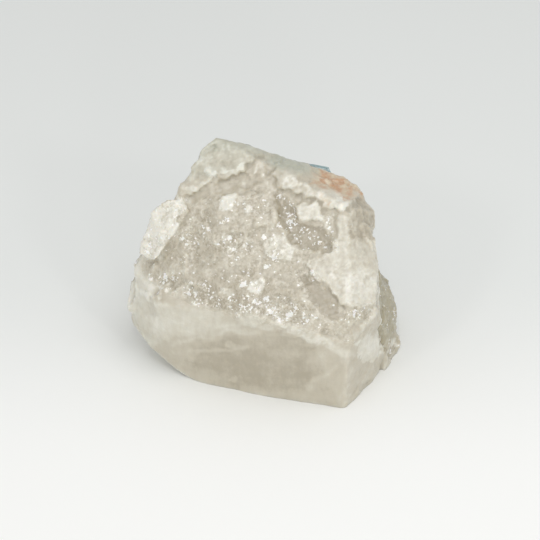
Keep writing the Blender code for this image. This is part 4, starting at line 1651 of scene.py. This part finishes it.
@dataclass
class Studio:
    """The floor, the soft light and the camera."""

    aim: Point = (0.0, 0.0, 35.0)
    lamp_aim: Point = (0.0, 0.0, 30.0)
    distance: float = 836.0
    elevation: float = math.radians(35)
    lens: float = 150.0
    world: float = 0.68
    key_power: float = 1.1
    key_size: float = 450.0
    key_place: Point = (220.0, -160.0, 800.0)
    spot_power: float = 0.5
    spot_size: float = 110.0
    spot_places: tuple[Point, ...] = (
        (-420.0, -560.0, 520.0),
        (380.0, -620.0, 480.0),
        (-60.0, -420.0, 760.0),
        (120.0, -800.0, 260.0),
    )
    floor_width: float = 6000.0

    def look(self, obj: bpy.types.Object, place: Vector, target: Vector) -> None:
        """Puts an object at a place, looking at a target, both in metres."""
        obj.location = place
        obj.rotation_euler = (target - place).to_track_quat("-Z", "Y").to_euler()

    def camera(self, shift: Vector) -> None:
        """Sets up the camera.

        Args:
            shift: how far the block was moved sideways, in metres.
        """
        data = bpy.data.cameras.new("camera")
        data.lens = self.lens
        data.clip_end = 10
        camera = bpy.data.objects.new("camera", data)
        bpy.context.scene.collection.objects.link(camera)
        target = Vector(self.aim) * MM + shift
        back = Vector((0, -math.cos(self.elevation), math.sin(self.elevation)))
        self.look(camera, target + self.distance * MM * back, target)
        bpy.context.scene.camera = camera

    def lamp(self, name: str, place: Point, size: float, power: float) -> None:
        """Hangs a round lamp that looks at the block.

        Args:
            name: the lamp's name.
            place: where it hangs.
            size: its width.
            power: its power in watts.
        """
        data = bpy.data.lights.new(name, "AREA")
        data.shape = "DISK"
        data.size = size * MM
        data.energy = power
        lamp = bpy.data.objects.new(name, data)
        bpy.context.scene.collection.objects.link(lamp)
        self.look(lamp, Vector(place) * MM, Vector(self.lamp_aim) * MM)

    def lights(self) -> None:
        """Sets up a soft lamp overhead, small lamps that the grains glint in, and an even white surround."""
        self.lamp("softbox", self.key_place, self.key_size, self.key_power)
        for k, place in enumerate(self.spot_places):
            self.lamp(f"spot_{k}", place, self.spot_size, self.spot_power)
        world = bpy.data.worlds.new("surround")
        bpy.context.scene.world = world
        world.use_nodes = True
        background = world.node_tree.nodes["Background"]
        background.inputs["Color"].default_value = (1, 1, 1, 1)
        background.inputs["Strength"].default_value = self.world

    def floor(self) -> bpy.types.Object:
        """Lays the floor.

        Returns:
            The floor.
        """
        bpy.ops.object.select_all(action="DESELECT")
        bpy.ops.mesh.primitive_plane_add(size=self.floor_width * MM)
        floor = bpy.context.active_object
        floor.name = "floor"
        floor.data.materials.append(FloorFinish().material())
        return floor


def sideways_shift(crystal: bpy.types.Object) -> Vector:
    """Measures how far the frame's crystal stands from the one built here.

    Args:
        crystal: the plain crystal, as built here.

    Returns:
        The shift in metres, which is level.
    """
    low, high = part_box("aquamarine_crystal")
    corners = np.array([tuple(vert.co) for vert in crystal.data.vertices])
    here = (corners.min(axis=0) + corners.max(axis=0)) / 2
    there = (low + high) / 2
    return Vector((there.x - here[0], there.y - here[1], 0))


def main() -> None:
    """Builds the pieces in order, dresses them and sets up the studio."""
    logging.basicConfig(level=logging.INFO, format="%(message)s")
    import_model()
    bpy.context.scene.view_settings.view_transform = "Standard"

    beryl = Aquamarine()
    plain = beryl.cutter(0.0)
    shift = sideways_shift(plain)
    bpy.data.objects.remove(plain)
    LOG.info("shift: %.3f mm, %.3f mm", shift.x / MM, shift.y / MM)

    quartz = QuartzMatrix().build(beryl)
    quartz.data.materials.append(QuartzFinish().material())
    crystal = beryl.build()
    crystal.data.materials.append(AquamarineFinish().material())
    for piece, node, slot in (
        (quartz, "quartz_matrix", "milky_quartz"),
        (crystal, "aquamarine_crystal", "aquamarine"),
    ):
        piece.data.transform(Matrix.Translation(shift))
        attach(piece, "root")
        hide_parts(node)
        LOG.info("%s: %d points, %d faces", piece.name, len(piece.data.vertices), len(piece.data.polygons))

    studio = Studio()
    studio.camera(shift)
    studio.lights()
    studio.floor()


if __name__ == "__main__":
    main()
